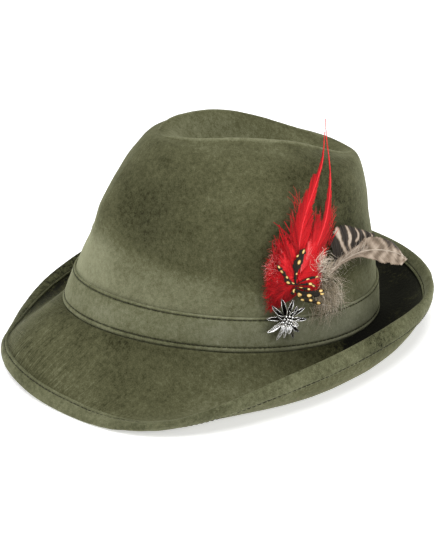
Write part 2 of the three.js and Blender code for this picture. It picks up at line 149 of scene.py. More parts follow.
def signed_turn(angle):
    return np.arctan2(np.sin(angle), np.cos(angle))


def front_turn(angle):
    return np.abs(signed_turn(angle))


def seam_height(angle):
    return SEAM_DIP * np.cos(2 * angle)


def oval(angle, front, back, side, egg):
    cosine = np.cos(angle)
    x = side * np.sin(angle) * (1 - egg * cosine)
    y = (back - front) / 2 - (back + front) / 2 * cosine
    return np.stack([x, y, np.zeros_like(x)], -1)


def foot(angle):
    half = np.full_like(angle, FOOT_LENGTH / 2)
    return oval(angle, half, half, FOOT_WIDTH / 2, FOOT_EGG)


def foot_outward(angle):
    along = foot(angle + 1e-3) - foot(angle - 1e-3)
    return normalised(np.stack([along[..., 1], -along[..., 0], np.zeros_like(angle)], -1))


def crown_outside(angle, rise):
    angle, rise = np.broadcast_arrays(np.asarray(angle, float), np.asarray(rise, float))
    front, back, side, front_height, back_height, ridge = np.moveaxis(along_rows(CROWN, rise), -1, 0)
    ahead = (1 + np.cos(angle)) / 2
    height = CROWN_HEIGHT * (front_height * ahead + back_height * (1 - ahead) + ridge * np.sin(angle) ** 2)
    half = FOOT_LENGTH / 2
    point = oval(angle, front * half, back * half, side * FOOT_WIDTH / 2, FOOT_EGG * (1 - rise))
    aside = (front_turn(angle) - math.radians(PINCH_ANGLE)) / math.radians(PINCH_SPREAD)
    above = (height - PINCH_HEIGHT) / PINCH_TALL
    fade = np.clip((RIDGE_RISE - rise) / (RIDGE_RISE - 0.5), 0, 1)
    pinch = PINCH_DEPTH * fade * np.exp(-(aside**2 + above**2) / 2)
    point[..., 0] -= pinch * np.sin(angle)
    point[..., 1] += pinch * np.cos(angle)
    point[..., 2] = height + seam_height(angle) * np.clip(1 - 4 * rise, 0, 1)
    return point


def crown_upward(angle, rise):
    rise = np.asarray(rise, float)
    low = crown_outside(angle, np.maximum(rise - 1e-3, 0))
    return normalised(crown_outside(angle, np.minimum(rise + 1e-3, 1)) - low)


def crown_outward(angle, rise):
    along = crown_outside(angle + 1e-3, rise) - crown_outside(angle - 1e-3, rise)
    return normalised(np.cross(along, crown_upward(angle, rise)))


def crown_offset(angle, rise, off):
    return crown_outside(angle, rise) + crown_outward(angle, rise) * np.asarray(off, float)[..., None]


def rise_at(angle, height):
    angle, height = np.broadcast_arrays(np.asarray(angle, float), np.asarray(height, float))
    low = np.zeros(angle.shape)
    high = np.full(angle.shape, 0.5)
    for _ in range(24):
        middle = (low + high) / 2
        under = crown_outside(angle, middle)[..., 2] - seam_height(angle) < height
        low = np.where(under, middle, low)
        high = np.where(under, high, middle)
    return low


def on_crown(angle, height, off):
    return crown_offset(angle, rise_at(angle, height), off)


# The brim: a point at a length along its top face, lifted off it and moved on along it


def brim_breadth(angle):
    return BRIM_BREADTH * along_rows(BRIM, front_turn(angle) / math.pi, True)[..., 0]


def on_brim(angle, length, lift, on=0.0):
    angle, length, lift, on = np.broadcast_arrays(*[np.asarray(v, float) for v in (angle, length, lift, on)])
    side = along_rows(BRIM, front_turn(angle) / math.pi, True)
    breadth = BRIM_BREADTH * side[..., 0]
    root = np.radians(side[..., 1])
    edge = np.radians(side[..., 2])

    def slope_at(share):
        return root + (edge - root) * np.maximum(share, 0) ** BRIM_TURN

    steps = 40
    out = np.full(angle.shape, BAND_PROUD)
    up = np.zeros(angle.shape)
    for k in range(steps):
        slope = slope_at((k + 0.5) / steps * length / breadth)
        out = out + np.cos(slope) * length / steps
        up = up + np.sin(slope) * length / steps
    slope = slope_at(length / breadth)
    out = out + on * np.cos(slope) - lift * np.sin(slope)
    up = up + on * np.sin(slope) + lift * np.cos(slope)
    point = foot(angle) + foot_outward(angle) * out[..., None]
    point[..., 2] = seam_height(angle) + up
    return point


# From the hat's own frame to the floor's, in metres


def tipped(points, degrees):
    x, y, z = np.moveaxis(np.asarray(points, float), -1, 0)
    cosine, sine = math.cos(math.radians(degrees)), math.sin(math.radians(degrees))
    return np.stack([x, y * cosine - z * sine, y * sine + z * cosine], -1)


def in_room(points):
    return (tipped(points, REST_TIP) + np.array(REST_SHIFT)) * MM


# Smooth noise on a random lattice, from -1 to 1, with features about one unit of the points' scale apart, and the
# same over separate coordinates


def smooth_noise(points, seed):
    lattice = np.random.default_rng(seed).uniform(-1, 1, 4096)
    cell = np.floor(points).astype(np.int64)
    share = points - cell
    share = share * share * (3 - 2 * share)
    total = 0
    for dx in (0, 1):
        for dy in (0, 1):
            for dz in (0, 1):
                x, y, z = cell[..., 0] + dx, cell[..., 1] + dy, cell[..., 2] + dz
                value = lattice[(x * 73856093 ^ y * 19349663 ^ z * 83492791) % 4096]
                weight = np.abs(1 - dx - share[..., 0]) * np.abs(1 - dy - share[..., 1])
                total = total + value * weight * np.abs(1 - dz - share[..., 2])
    return total


def noise_over(seed, *axes):
    return smooth_noise(np.stack(np.broadcast_arrays(*axes), -1), seed)


# Waves in the cloth: the height, length and seed of each layer


def waves(points, *layers):
    return sum(height * smooth_noise(points / length, seed) for height, length, seed in layers)


def bump(x, middle, width):
    return np.exp(-(((x - middle) / width) ** 2))


def climb(x, middle, width):
    return 1 / (1 + np.exp((middle - x) / width))


def fall(x, middle, width):
    return climb(-x, -middle, width)


# Objects from arrays of points in metres. What they are made of comes as a material with a slot name, and the
# material is put on the mesh.


def new_object(name, data):
    obj = bpy.data.objects.new(name, data)
    bpy.context.scene.collection.objects.link(obj)
    return obj


def add_object(name, points, faces, stuff, layers=None):
    material, slot = stuff
    mesh = bpy.data.meshes.new(name)
    mesh.from_pydata(np.asarray(points).reshape(-1, 3).tolist(), [], faces)
    mesh.validate()
    for layer, values in (layers or {}).items():
        values = np.asarray(values, np.float32)
        if values.ndim == 1:
            mesh.attributes.new(layer, "FLOAT", "POINT").data.foreach_set("value", values)
        else:
            mesh.attributes.new(layer, "FLOAT_VECTOR", "POINT").data.foreach_set("vector", values.ravel())
    mesh.polygons.foreach_set("use_smooth", np.ones(len(mesh.polygons), bool))
    obj = new_object(name, mesh)
    mesh.materials.append(material)
    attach(obj, "root")
    return obj


# Faces between rows of points in rings, but for the gap after one row where it is left open


def ring_faces(rows, count, left_open=None):
    faces = []
    for j in range(rows):
        low, high = j * count, (j + 1) % rows * count
        if j != left_open:
            faces += [(low + i, low + (i + 1) % count, high + (i + 1) % count, high + i) for i in range(count)]
    return faces


# The wall of a piece that runs round the hat: rows of points at every angle, joined into a closed section


def sweep(name, rows, stuff, layers):
    rows = np.stack(rows)
    rows[..., 2] = np.maximum(rows[..., 2], 0)
    faces = ring_faces(len(rows), rows.shape[1])
    count = rows.shape[0] * rows.shape[1]
    layers = {key: np.stack(value).reshape(count, -1).squeeze() for key, value in layers.items()}
    return add_object(name, rows, faces, stuff, layers)


def turns(count):
    return np.arange(count) * (2 * math.pi / count)


# Materials


def srgb(code):
    values = [int(code[k : k + 2], 16) / 255 for k in (0, 2, 4)]
    return tuple(v / 12.92 if v <= 0.04045 else ((v + 0.055) / 1.055) ** 2.4 for v in values) + (1.0,)


class Shader:
    def __init__(self, name, **values):
        self.material = bpy.data.materials.new(name)
        self.material.use_nodes = True
        self.tree = self.material.node_tree
        self.main = self.tree.nodes["Principled BSDF"]
        for key, value in values.items():
            self.main.inputs[key.replace("_", " ")].default_value = value
        self.place = self.node("ShaderNodeTexCoord").outputs["Object"]

    def node(self, kind, **settings):
        node = self.tree.nodes.new(kind)
        for key, value in settings.items():
            setattr(node, key, value)
        return node

    def join(self, value, socket):
        if isinstance(value, bpy.types.NodeSocket):
            self.tree.links.new(value, socket)
        else:
            socket.default_value = value

    def layer(self, name):
        return self.node("ShaderNodeAttribute", attribute_name=name).outputs["Fac"]

    def math(self, operation, a, b, clamp=False):
        node = self.node("ShaderNodeMath", operation=operation, use_clamp=clamp)
        self.join(a, node.inputs[0])
        self.join(b, node.inputs[1])
        return node.outputs[0]

    def spread(self, value, amount):
        return self.math("MULTIPLY", self.math("SUBTRACT", value, 0.5), amount)

    def noise(self, scale, detail=3.0, roughness=0.55, place=None):
        node = self.node("ShaderNodeTexNoise")
        self.join(place or self.place, node.inputs["Vector"])
        node.inputs["Scale"].default_value = scale
        node.inputs["Detail"].default_value = detail
        node.inputs["Roughness"].default_value = roughness
        return node.outputs["Fac"]

    def ramp(self, factor, stops):
        node = self.node("ShaderNodeValToRGB")
        ramp = node.color_ramp
        while len(ramp.elements) < len(stops):
            ramp.elements.new(0.5)
        for element, (position, colour) in zip(ramp.elements, stops):
            element.position = position
            element.color = srgb(colour)
        self.join(factor, node.inputs[0])
        return node.outputs[0]

    def relief(self, height, strength, distance):
        node = self.node("ShaderNodeBump")
        node.inputs["Strength"].default_value = strength
        node.inputs["Distance"].default_value = distance
        self.join(height, node.inputs["Height"])
        self.join(node.outputs[0], self.main.inputs["Normal"])

    def colour(self, value):
        self.join(value, self.main.inputs["Base Color"])


# Brushed imitation suede: the nap lies in soft blotches, with short fibres. The tone layer "tone" carries painted
# light and shade, and the ramp's near-black first stop serves the deepest painted shade. Streaks follow the cloth's
# grain where the tone layer "streak" is set.


def suede(name, dark, middle, light):
    s = Shader(name, Roughness=0.95, Specular_IOR_Level=0.12, Sheen_Weight=0.6, Sheen_Roughness=0.4)
    s.main.inputs["Sheen Tint"].default_value = srgb("a8aa8c")
    nap = s.noise(420, 2, 0.6)
    fibre = s.noise(1500, 2, 0.7)
    grain = s.node("ShaderNodeAttribute", attribute_name="grain").outputs["Vector"]
    streaks = s.spread(s.noise(900, 2, 0.6, grain), s.layer("streak"))
    tone = s.spread(s.noise(24, 3, 0.5), 0.42)
    for part in (s.spread(s.noise(85, 3, 0.6), 0.3), s.spread(nap, 0.5), s.spread(fibre, 0.6), streaks):
        tone = s.math("ADD", tone, part)
    tone = s.math("ADD", tone, s.layer("tone"), True)
    s.colour(s.ramp(tone, [(0.0, "030302"), (0.14, dark), (0.45, middle), (1.0, light)]))
    height = s.math("ADD", s.math("MULTIPLY", fibre, 0.5), s.math("MULTIPLY", nap, 0.8))
    height = s.math("ADD", height, s.math("MULTIPLY", streaks, 0.8))
    s.relief(height, 0.45, 0.0006)
    return s.material


CLOTH = suede("olive_suede", "32321d", "54543b", "85866b"), "hat_cloth"
BAND_SUEDE = suede("band_suede", "40412b", "66674d", "90917a"), "band_cloth"


def thread():
    s = Shader("dark_thread", Roughness=0.7, Specular_IOR_Level=0.3)
    s.colour(s.ramp(s.noise(900, 2), [(0.3, "1c1b10"), (0.7, "34331f")]))
    s.relief(s.noise(2600, 2), 0.5, 0.0003)
    return s.material


THREAD = thread(), "band_cloth"


# Crown: tables by the turn from the front in degrees

# Height of the flare's upper edge over the band
FLARE = [0, 18, 35, 49, 61, 72, 83, 100, 124, 150], [48, 47, 46, 44, 40, 35, 30, 28, 34, 37]
# Rise of the dent's rim, and how strongly it is pressed to a crease
RIM = [0, 24, 60, 100, 132, 156, 180], [0.63, 0.655, 0.676, 0.672, 0.652, 0.6, 0.545]
RIM_PRESSED = [4, 26, 140, 168], [0, 1, 1, 0]


def flare_edge(angle):
    return np.interp(np.degrees(front_turn(angle)), *FLARE)


# Painted light and shade over the crown's own tone: painted light on the lower wall up to the flare's edge, a painted
# highlight along the ridge and the crease, painted light inside the dent and on the front below the pinches' height,
# and painted shade just behind the crease on the trim's side, in the pinches and higher on the wall towards the back
def crown_tone_and_painted_light(angle, rise, point):
    height = point[..., 2]
    turn = front_turn(angle)
    edge = flare_edge(angle) + 3 * smooth_noise(point / 22, 5)
    flare = fall(height, edge, 2.2)
    ridge = 0.05 * bump(rise, 0.6, 0.05) + 0.33 * crease_at(angle, rise + 0.006, 0.012)
    painted_crease_shade = 0.24 * crease_at(angle, rise - 0.04, 0.02) * climb(np.sin(angle), 0, 0.15)
    pinch = bump(turn, math.radians(PINCH_ANGLE), 0.3) * bump(height, PINCH_HEIGHT, 24)
    painted_dent_light = 0.24 * climb(rise, 0.7, 0.02)
    front = 0.27 * bump(turn, 0, 0.5) * fall(height, 54, 5)
    painted_back_shade = 0.12 * bump(turn, 2.0, 0.45) * climb(height, 34, 4)
    return 0.38 + 0.26 * flare + ridge - painted_crease_shade - 0.22 * pinch + painted_dent_light + front - painted_back_shade


# The dent's rim is pressed to a crease on both sides


def crease_at(angle, rise, width):
    turn = np.degrees(front_turn(angle))
    return np.interp(turn, *RIM_PRESSED) * bump(rise, np.interp(turn, *RIM), width)


def crown_piece():
    count, outer, inner = 312, 150, 36
    angle = turns(count)
    rows, tones = [], []

    def row(rise, off, drop=0.0):
        point = crown_outside(angle, rise)
        outward = crown_outward(angle, rise)
        soft = waves(point, (0.5, 26, 3), (0.22, 9, 4))
        flare = 0.35 * bump(point[:, 2], flare_edge(angle), 1.6)
        fade = min(1.0, rise / 0.12)
        out = outward * (off + (soft + flare) * fade + CREASE * crease_at(angle, rise, 0.016))[:, None]
        point = point + out
        point[:, 2] -= drop
        rows.append(in_room(point))
        tones.append(crown_tone_and_painted_light(angle, rise, point))

    for k in range(outer + 1):
        row(k / outer, 0.0)
    for k in range(inner, -1, -1):
        row(k / inner, -FELT)
    row(0.0, -FELT, FELT)
    row(0.0, 0.0, FELT)
    # The dent's floor is closed by strips from side to side
    faces = ring_faces(len(rows), count, outer)
    for k in range(count // 2):
        for base, order in ((outer * count, 1), ((outer + 1) * count, -1)):
            strip = [base + k, base + k + 1, base + count - k - 1, base + (count - k) % count]
            strip = [v for n, v in enumerate(strip) if v not in strip[:n]]
            if len(strip) > 2:
                faces.append(tuple(strip[::order]))
    return add_object("crown_cloth", np.stack(rows), faces, CLOTH, {"tone": np.stack(tones).ravel()})


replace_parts(crown_piece(), "crown")


# Brim: one wall of cloth under the band and the hem


def brim_piece():
    count, top, bottom = 416, 44, 30
    angle = turns(count)
    breadth = brim_breadth(angle)
    edge = breadth - HEM_END
    rows, tones, streaks, grains = [], [], [], []

    def row(share, lift, top_side):
        length = edge * share
        point = on_brim(angle, length, lift)
        soft = waves(point, (0.55, 30, 11), (0.25, 11, 12)) * bump(share, 0.45, 0.3)
        rows.append(in_room(on_brim(angle, length, lift + soft)))
        tone = np.full(count, 0.43)
        if top_side:
            # Painted shade inside the turned-up part behind, painted light on the sides, painted shade with a lighter
            # streak between at the far side's edge and root, painted shade at the root under the band, and painted
            # light towards the edge at the front on the trim's side
            turn = front_turn(angle)
            channel_painted_shade = climb(turn, 2.0, 0.09) * (1 - 0.3 * share**4)
            side = bump(turn, 1.4, 0.4) * (0.5 + 0.5 * share)
            far_painted_shading = 0.42 * bump(share, 0.82, 0.14) + 0.12 * bump(share, 0.1, 0.2) - 0.12 * bump(share, 0.5, 0.15)
            far_painted_shading = bump(signed_turn(angle), -1.0, 0.45) * far_painted_shading
            tone = 0.3 - 0.38 * channel_painted_shade + 0.3 * side - 0.08 * bump(share, 0.0, 0.16) - far_painted_shading
            tone = tone + 0.1 * bump(angle, 0.6, 0.35) * share**2
        tones.append(tone)
        streaks.append(1.5 * bump(signed_turn(angle), -0.25, 0.9) * (0.3 + 0.7 * share))
        across = angle * FOOT_LENGTH / 2 * (1 + 0.35 * share)
        grains.append(np.stack([across * MM, length * MM * 0.09, np.zeros(count)], -1))

    for k in range(top + 1):
        row(k / top, 0.0, True)
    for k in range(bottom, -1, -1):
        row(k / bottom, -FELT, False)
    # The inner edge reaches under the band to the crown's foot
    for drop in (FELT, 0.2):
        point = foot(angle) + foot_outward(angle) * 0.05
        point[:, 2] = seam_height(angle) - drop
        rows.append(in_room(point))
        # Tone zero paints the strip under the band in the darkest shade
        for values in (tones, streaks):
            values.append(np.zeros(count))
        grains.append(in_room(point))
    layers = {"tone": tones, "streak": streaks, "grain": grains}
    return sweep("brim_cloth", rows, CLOTH, layers)


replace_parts(brim_piece(), "brim")


# Hem: the folded edge, puffed between its edge stitches, with a narrow welt at its inner edge on top

STITCH = 2.9
# Places of the hem's two rows of stitches as shares of its breadth, and how much each face thins towards the fold
HEM_SEAM_TOP = 0.24
HEM_SEAM_UNDER = 0.06
FOLD_THINNED = 0.8
HEM_COUNT = 1800
# The hem's tone by the turn from the front in degrees: painted light and shade, dark on the far side and light at the
# front on the trim's side
HEM_PAINTED_SHADING = np.array([
    (-180, 0.33), (-150, 0.3), (-120, 0.22), (-60, 0.14), (-40, 0.14), (-20, 0.2), (0, 0.26), (20, 0.4), (40, 0.37),
    (52, 0.27), (60, 0.22), (75, 0.28), (90, 0.3), (105, 0.25), (120, 0.26), (135, 0.33), (160, 0.34), (180, 0.33),
])


def hem_piece():
    angle = turns(HEM_COUNT)
    breadth = brim_breadth(angle)
    run = np.cumsum(np.linalg.norm(np.diff(on_brim(angle, breadth, 0.0), axis=0, append=0), axis=-1).clip(0, 5))
    start = breadth - HEM_BREADTH
    edge = breadth - HEM_END
    span = edge - start
    radius = FELT / 2 + HEM_END - FOLD_THINNED
    pucker = 0.5 + 0.5 * np.cos(2 * math.pi * run / STITCH)
    rows, tones = [], []
    shade = np.interp(np.degrees(signed_turn(angle)), *HEM_PAINTED_SHADING.T)

    def row(length, lift, on, where):
        base = on_brim(angle, length, 0.0)
        twist = noise_over(21, run / 7 + 0.5 * where, where / 3, 0)
        soft = 0.22 * twist + 0.12 * smooth_noise(base / 5, 22)
        puff = 1 if np.mean(lift) > -FELT / 2 else -1
        rows.append(in_room(on_brim(angle, length, lift + puff * soft, on)))
        tones.append(shade + 0.06 * twist)

    for share in (0.0, 0.06, 0.14, 0.2, 0.3, 0.45, 0.6, 0.75, 0.9):
        seam = 0.5 * bump(share, HEM_SEAM_UNDER, 0.07) * (0.75 + 0.25 * pucker) - 0.35 * math.sin(math.pi * share)
        row(start + span * share, -FELT - HEM_END + seam + FOLD_THINNED * share**3, 0.0, -share)
    for degrees in (-70, -45, -20, 0, 20, 45, 70):
        turn = math.radians(degrees)
        row(breadth - radius, radius * math.sin(turn) - FELT / 2, radius * math.cos(turn), degrees / 90)
    for share in (0.9, 0.78, 0.66, 0.54, 0.42, 0.34, 0.28, 0.22, 0.17, 0.12, 0.06, 0.0):
        seam = 0.75 * bump(share, HEM_SEAM_TOP, 0.05) * (0.75 + 0.25 * pucker)
        puffed = 0.45 * math.sin(math.pi * max(share - HEM_SEAM_TOP, 0) / 0.76)
        puffed = 0.15 * bump(share, 0.1, 0.07) + puffed
        row(start + span * share, HEM_END - seam + puffed - FOLD_THINNED * share**3, 0.0, 2 - share)
    row(start, GAP, 0.0, 2)
    row(edge, GAP / 3, GAP / 3, 2)
    row(edge, -FELT - GAP / 3, GAP / 3, 2)
    row(start, -FELT - GAP, 0.0, 2)
    return sweep("hem_cloth", rows, BAND_SUEDE, {"tone": tones})


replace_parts(hem_piece(), "brim_hem")


# Hat band: a flat strip, edge-stitched above and below, its lower edge rolled under the stitching

BAND_SEAM_LOW = 2.9
BAND_SEAM_HIGH = BAND_HEIGHT - 1.5
# The length round on which the puckers between its stitches are counted
BAND_ROUND = 600.0


def band_piece():
    count = 1100
    angle = turns(count)
    run = np.arange(count) * BAND_ROUND / count
    pucker = 0.5 + 0.5 * np.cos(2 * math.pi * run / STITCH)
    rows, tones = [], []

    def row(height, off, outer):
        base = on_crown(angle, height, off)
        soft = 0.0
        if outer:
            soft = waves(base, (0.2, 14, 31), (0.1, 5, 32))
            soft = soft - 0.42 * bump(height, BAND_SEAM_LOW, 0.45) * (0.8 + 0.2 * pucker)
            soft = soft - 0.36 * bump(height, BAND_SEAM_HIGH, 0.4) * (0.8 + 0.2 * pucker)
            soft = soft + 0.25 * bump(height, 1.4, 0.9)
        rows.append(in_room(on_crown(angle, height, off + soft)))
        # Painted shade in the grooves at the stitch lines, and painted light on both sides towards the back
        painted_seam_shade = bump(height, BAND_SEAM_LOW, 0.5) + bump(height, BAND_SEAM_HIGH, 0.5)
        side = bump(front_turn(angle), 1.95, 0.5)
        soft = 0.08 * bump(height, 10, 6) + 0.1 * smooth_noise(base / 16, 33)
        tones.append(0.42 + 0.3 * side + soft - 0.35 * painted_seam_shade)

    heights = [GAP, 0.5, 0.9, 1.4, 1.9, 2.3, 2.6, 2.9, 3.2, 3.6, 4.4, 6, 8, 10, 12, 14, 16, 17.3, 17.9, 18.2]
    heights += [18.5, 18.8, 19.2, 19.6, BAND_HEIGHT]
    for height in heights:
        rim = 0.35 * (bump(height, GAP, 0.25) + bump(height, BAND_HEIGHT, 0.3))
        row(height, BAND_PROUD - rim, True)
    row(BAND_HEIGHT, GAP, False)
    row(10, GAP, False)
    row(GAP, GAP, False)
    return sweep("band_strip", rows, BAND_SUEDE, {"tone": tones})


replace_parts(band_piece(), "hat_band")


# Stitches: short threads along a line, sunk at both ends. Their shape is the share of the pitch, the height over the
# line and the radius, from end to end.

STITCH_SHAPE = np.array([
    (0.0, -0.3, 0.1), (0.12, 0.05, 0.22), (0.35, 0.2, 0.27), (0.6, 0.2, 0.27), (0.82, 0.05, 0.22), (0.94, -0.3, 0.1),
])

def stitches(name, line, outward):
    steps = np.linalg.norm(np.diff(line, axis=0, append=line[:1]), axis=-1)
    run = np.concatenate([[0], np.cumsum(steps)])
    pitch = run[-1] / round(run[-1] / STITCH)
    closed = np.concatenate([line, line[:1]])
    normals = np.concatenate([outward, outward[:1]])
    starts = np.arange(round(run[-1] / pitch)) * pitch
    shares, heights, radii = STITCH_SHAPE.T
    sides = 6
    at = (starts[:, None] + shares * pitch) % run[-1]
    places = at_run(at, run, closed)
    ups = normalised(at_run(at, run, normals))
    ahead = normalised(np.roll(places, -1, 1) - places)
    ahead[:, -1] = ahead[:, -2]
    across = normalised(np.cross(ahead, ups))
    turn = turns(sides)
    ring = across[:, :, None] * np.cos(turn)[:, None] + ups[:, :, None] * np.sin(turn)[:, None]
    points = places[:, :, None] + ups[:, :, None] * heights[:, None, None] + ring * radii[:, None, None]
    faces = []
    block = len(shares) * sides
    for k in range(len(starts)):
        base = k * block
        for j in range(len(shares) - 1):
            low, high = base + j * sides, base + (j + 1) * sides
            faces += [(low + i, high + i, high + (i + 1) % sides, low + (i + 1) % sides) for i in range(sides)]
        faces.append(tuple(base + i for i in range(sides)))
        faces.append(tuple(base + block - 1 - i for i in range(sides)))
    add_object(name, in_room(points.reshape(-1, 3)), faces, THREAD)


def stitch_rows():
    angle = turns(900)
    outward = crown_outward(angle, rise_at(angle, BAND_HEIGHT / 2))
    for name, height in (("band_stitches_low", BAND_SEAM_LOW), ("band_stitches_high", BAND_SEAM_HIGH)):
        stitches(name, on_crown(angle, height, BAND_PROUD - 0.3), outward)
    breadth = brim_breadth(angle)
    span = HEM_BREADTH - HEM_END
    for name, share, lift, side in (
        ("hem_stitches_top", HEM_SEAM_TOP, HEM_END - 0.45, 1),
        ("hem_stitches_under", HEM_SEAM_UNDER, -FELT - HEM_END + 0.35, -1),
    ):
        length = breadth - HEM_BREADTH + span * share
        line = on_brim(angle, length, lift)
        stitches(name, line, side * (on_brim(angle, length, lift + 1) - line))


stitch_rows()


# Trim: places as millimetres along the band from the pin, height over the seam, and distance off the crown. Over
# the free height feathers go straight on and leave the crown. Tables give the first as degrees of turn.

DEGREE = math.pi * FOOT_LENGTH / 360
FREE_HEIGHT = 0.58 * CROWN_HEIGHT
DOWN_SEAT = 1.8
PLUME_SEAT = 2.9
SPOTTED_SEAT = 8.2


def on_trim(place):
    angle = math.radians(TRIM_ANGLE) + np.radians(place[..., 0] / DEGREE)
    held = np.clip(place[..., 1], 0, FREE_HEIGHT)
    rise = rise_at(angle, held)
    up = crown_upward(angle, rise)
    out = crown_outward(angle, rise)
    point = crown_outside(angle, rise) + out * place[..., 2:3] + up * (place[..., 1] - held)[..., None]
    return point, out


def turned(rows, count):
    rows = np.array(rows, float)
    rows[:, 0] *= DEGREE
    return along_rows(rows, np.linspace(0, 1, count))


def sideways(path):
    ahead = normalised(np.gradient(path, axis=0))
    return normalised(np.stack([-ahead[:, 1], ahead[:, 0], 0 * ahead[:, 0]], -1))


def grid(columns, rows, low=-1):
    return np.meshgrid(np.linspace(0, 1, columns), np.linspace(low, 1, rows), indexing="ij")


# Strands from their roots: the heading is the turn from straight up


def strands(x, y, z, heading, length):
    return np.stack([x[:, None] + length * np.sin(heading), y[:, None] + length * np.cos(heading), z], -1)


# Thin ribbons: each is a row of places with a width, rolled about its own run


def ribbons(name, places, widths, rolls, stuff, tones):
    points, out = on_trim(places)
    ahead = normalised(np.gradient(points, axis=1))
    across = normalised(np.cross(ahead, out))
    rolls = np.asarray(rolls)[:, None, None]
    across = across * np.cos(rolls) + np.cross(ahead, across) * np.sin(rolls)
    half = np.broadcast_to(widths / 2, places.shape[:2])[..., None]
    sides = np.stack([points - across * half, points + across * half], 2)
    n, k = places.shape[:2]
    base = (np.arange(n) * k * 2)[:, None] + (np.arange(k - 1) * 2)[None]
    faces = np.stack([base, base + 1, base + 3, base + 2], -1).reshape(-1, 4).tolist()
    tones = np.repeat(np.broadcast_to(tones, (n, k)).reshape(-1), 2)
    return add_object(name, in_room(sides.reshape(-1, 3)), faces, stuff, {"tone": tones})


# A feather's barbs leave its shaft on both sides and lean towards its tip, by degrees. The breadths on the left and
# the right are those of its outline, which is ragged by a share of them.


def barbs(path, left, right, spacing, lean, steps, seed, ragged):
    r = np.random.default_rng(seed)
    run = np.concatenate([[0], np.cumsum(np.linalg.norm(np.diff(path, axis=0), axis=-1))])
    aside = sideways(path)
    slope = math.tan(math.radians(lean))
    count = max(int(run[-1] / spacing), 4)
    t = np.linspace(0, 1, steps)
    places, shares, stations, sides = [], [], [], []
    for side, outline in ((1, left), (-1, right)):
        start = np.sort(r.uniform(0, 0.97 * run[-1], count))
        end = start
        for _ in range(8):
            breadth = np.interp(end, run, outline)
            end = np.minimum(start + breadth / slope, run[-1])
        tuft = noise_over(seed, start / 2.2, side, seed)
        breadth = breadth * (1 + ragged * tuft + r.normal(0, ragged / 2, count))
        station = start[:, None] + (end - start)[:, None] * t
        place = at_run(station, run, path)
        place = place + side * at_run(station, run, aside) * (breadth[:, None] * t**1.1)[..., None]
        place[..., 2] += r.normal(0, 0.2, count)[:, None] * t
        places.append(place)
        shares.append(np.broadcast_to(t, (count, steps)))
        stations.append(np.broadcast_to(start[:, None], (count, steps)))
        sides.append(np.full((count, steps), side))
    return [np.concatenate(v) for v in (places, shares, stations, sides)]


def shaft(name, path, radius, stuff, tone):
    points, out = on_trim(path)
    ahead = normalised(np.gradient(points, axis=0))
    across = normalised(np.cross(ahead, out))
    up = np.cross(across, ahead)
    turn = turns(6)
    sizes = radius * np.linspace(1, 0.45, len(path))[:, None, None]
    ring = across[:, None] * np.cos(turn)[:, None] + up[:, None] * np.sin(turn)[:, None]
    faces = ring_faces(len(path), 6, len(path) - 1)
    faces += [tuple(range(5, -1, -1)), tuple((len(path) - 1) * 6 + i for i in range(6))]
    tones = np.full(len(path) * 6, tone)
    return add_object(name, in_room(points[:, None] + ring * sizes), faces, stuff, {"tone": tones})


# A sheet over a grid of places, seen from both sides


def sheet(name, places, stuff, tones):
    points, _ = on_trim(places)
    n, k = places.shape[:2]
    base = (np.arange(n - 1) * k)[:, None] + np.arange(k - 1)[None]
    faces = np.stack([base, base + k, base + k + 1, base + 1], -1).reshape(-1, 4).tolist()
    return add_object(name, in_room(points), faces, stuff, {"tone": np.asarray(tones).ravel()})


def feather(name, stops):
    s = Shader(name, Roughness=0.65, Specular_IOR_Level=0.2, Sheen_Weight=0.12)
    s.colour(s.ramp(s.math("ADD", s.layer("tone"), s.spread(s.noise(900, 2), 0.16), True), stops))
    s.relief(s.noise(2400, 2), 0.3, 0.0002)
    return s.material


REDS = [(0.0, "2a0305"), (0.25, "7c0a10"), (0.5, "be0c15"), (0.72, "e21420"), (0.88, "f03a40"), (1.0, "f4a09c")]
SPOT_COLOURS = [(0.0, "0c0a06"), (0.35, "221a0e"), (0.55, "5c3c14"), (0.7, "d8a23c"), (1.0, "f4e6a8")]
BAR_COLOURS = [(0.0, "100c09"), (0.25, "33291f"), (0.5, "80705f"), (0.75, "b5a594"), (1.0, "e4dacb")]
GREYS = [(0.0, "463e30"), (0.4, "84785f"), (0.7, "b8aa94"), (1.0, "ecdfcf")]
RED = feather("red_hackle", REDS), "red_feather"
SPOTTED = feather("spotted_vane", SPOT_COLOURS), "spotted_feather"
BARRED = feather("barred_vane", BAR_COLOURS), "barred_feather"
GREY = feather("grey_fluff", GREYS), "grey_feather"


# Red plume: two long stripped feathers over a tuft of hackles

PLUME_ROOT = np.array([2.5 * DEGREE, 43.5])
# Reach of the tuft by its turn from straight up, in degrees and millimetres
TUFT = np.array([
    [-152, 24], [-143, 28], [-132, 24.5], [-116, 21.5], [-96, 18.5], [-69, 19.5], [-49, 20.5], [-35, 25], [-27, 28],
    [-10, 26], [0, 28], [16, 30.5], [36, 33], [49, 32], [64, 26], [70, 21.5], [98, 19], [116, 20], [140, 17],
])
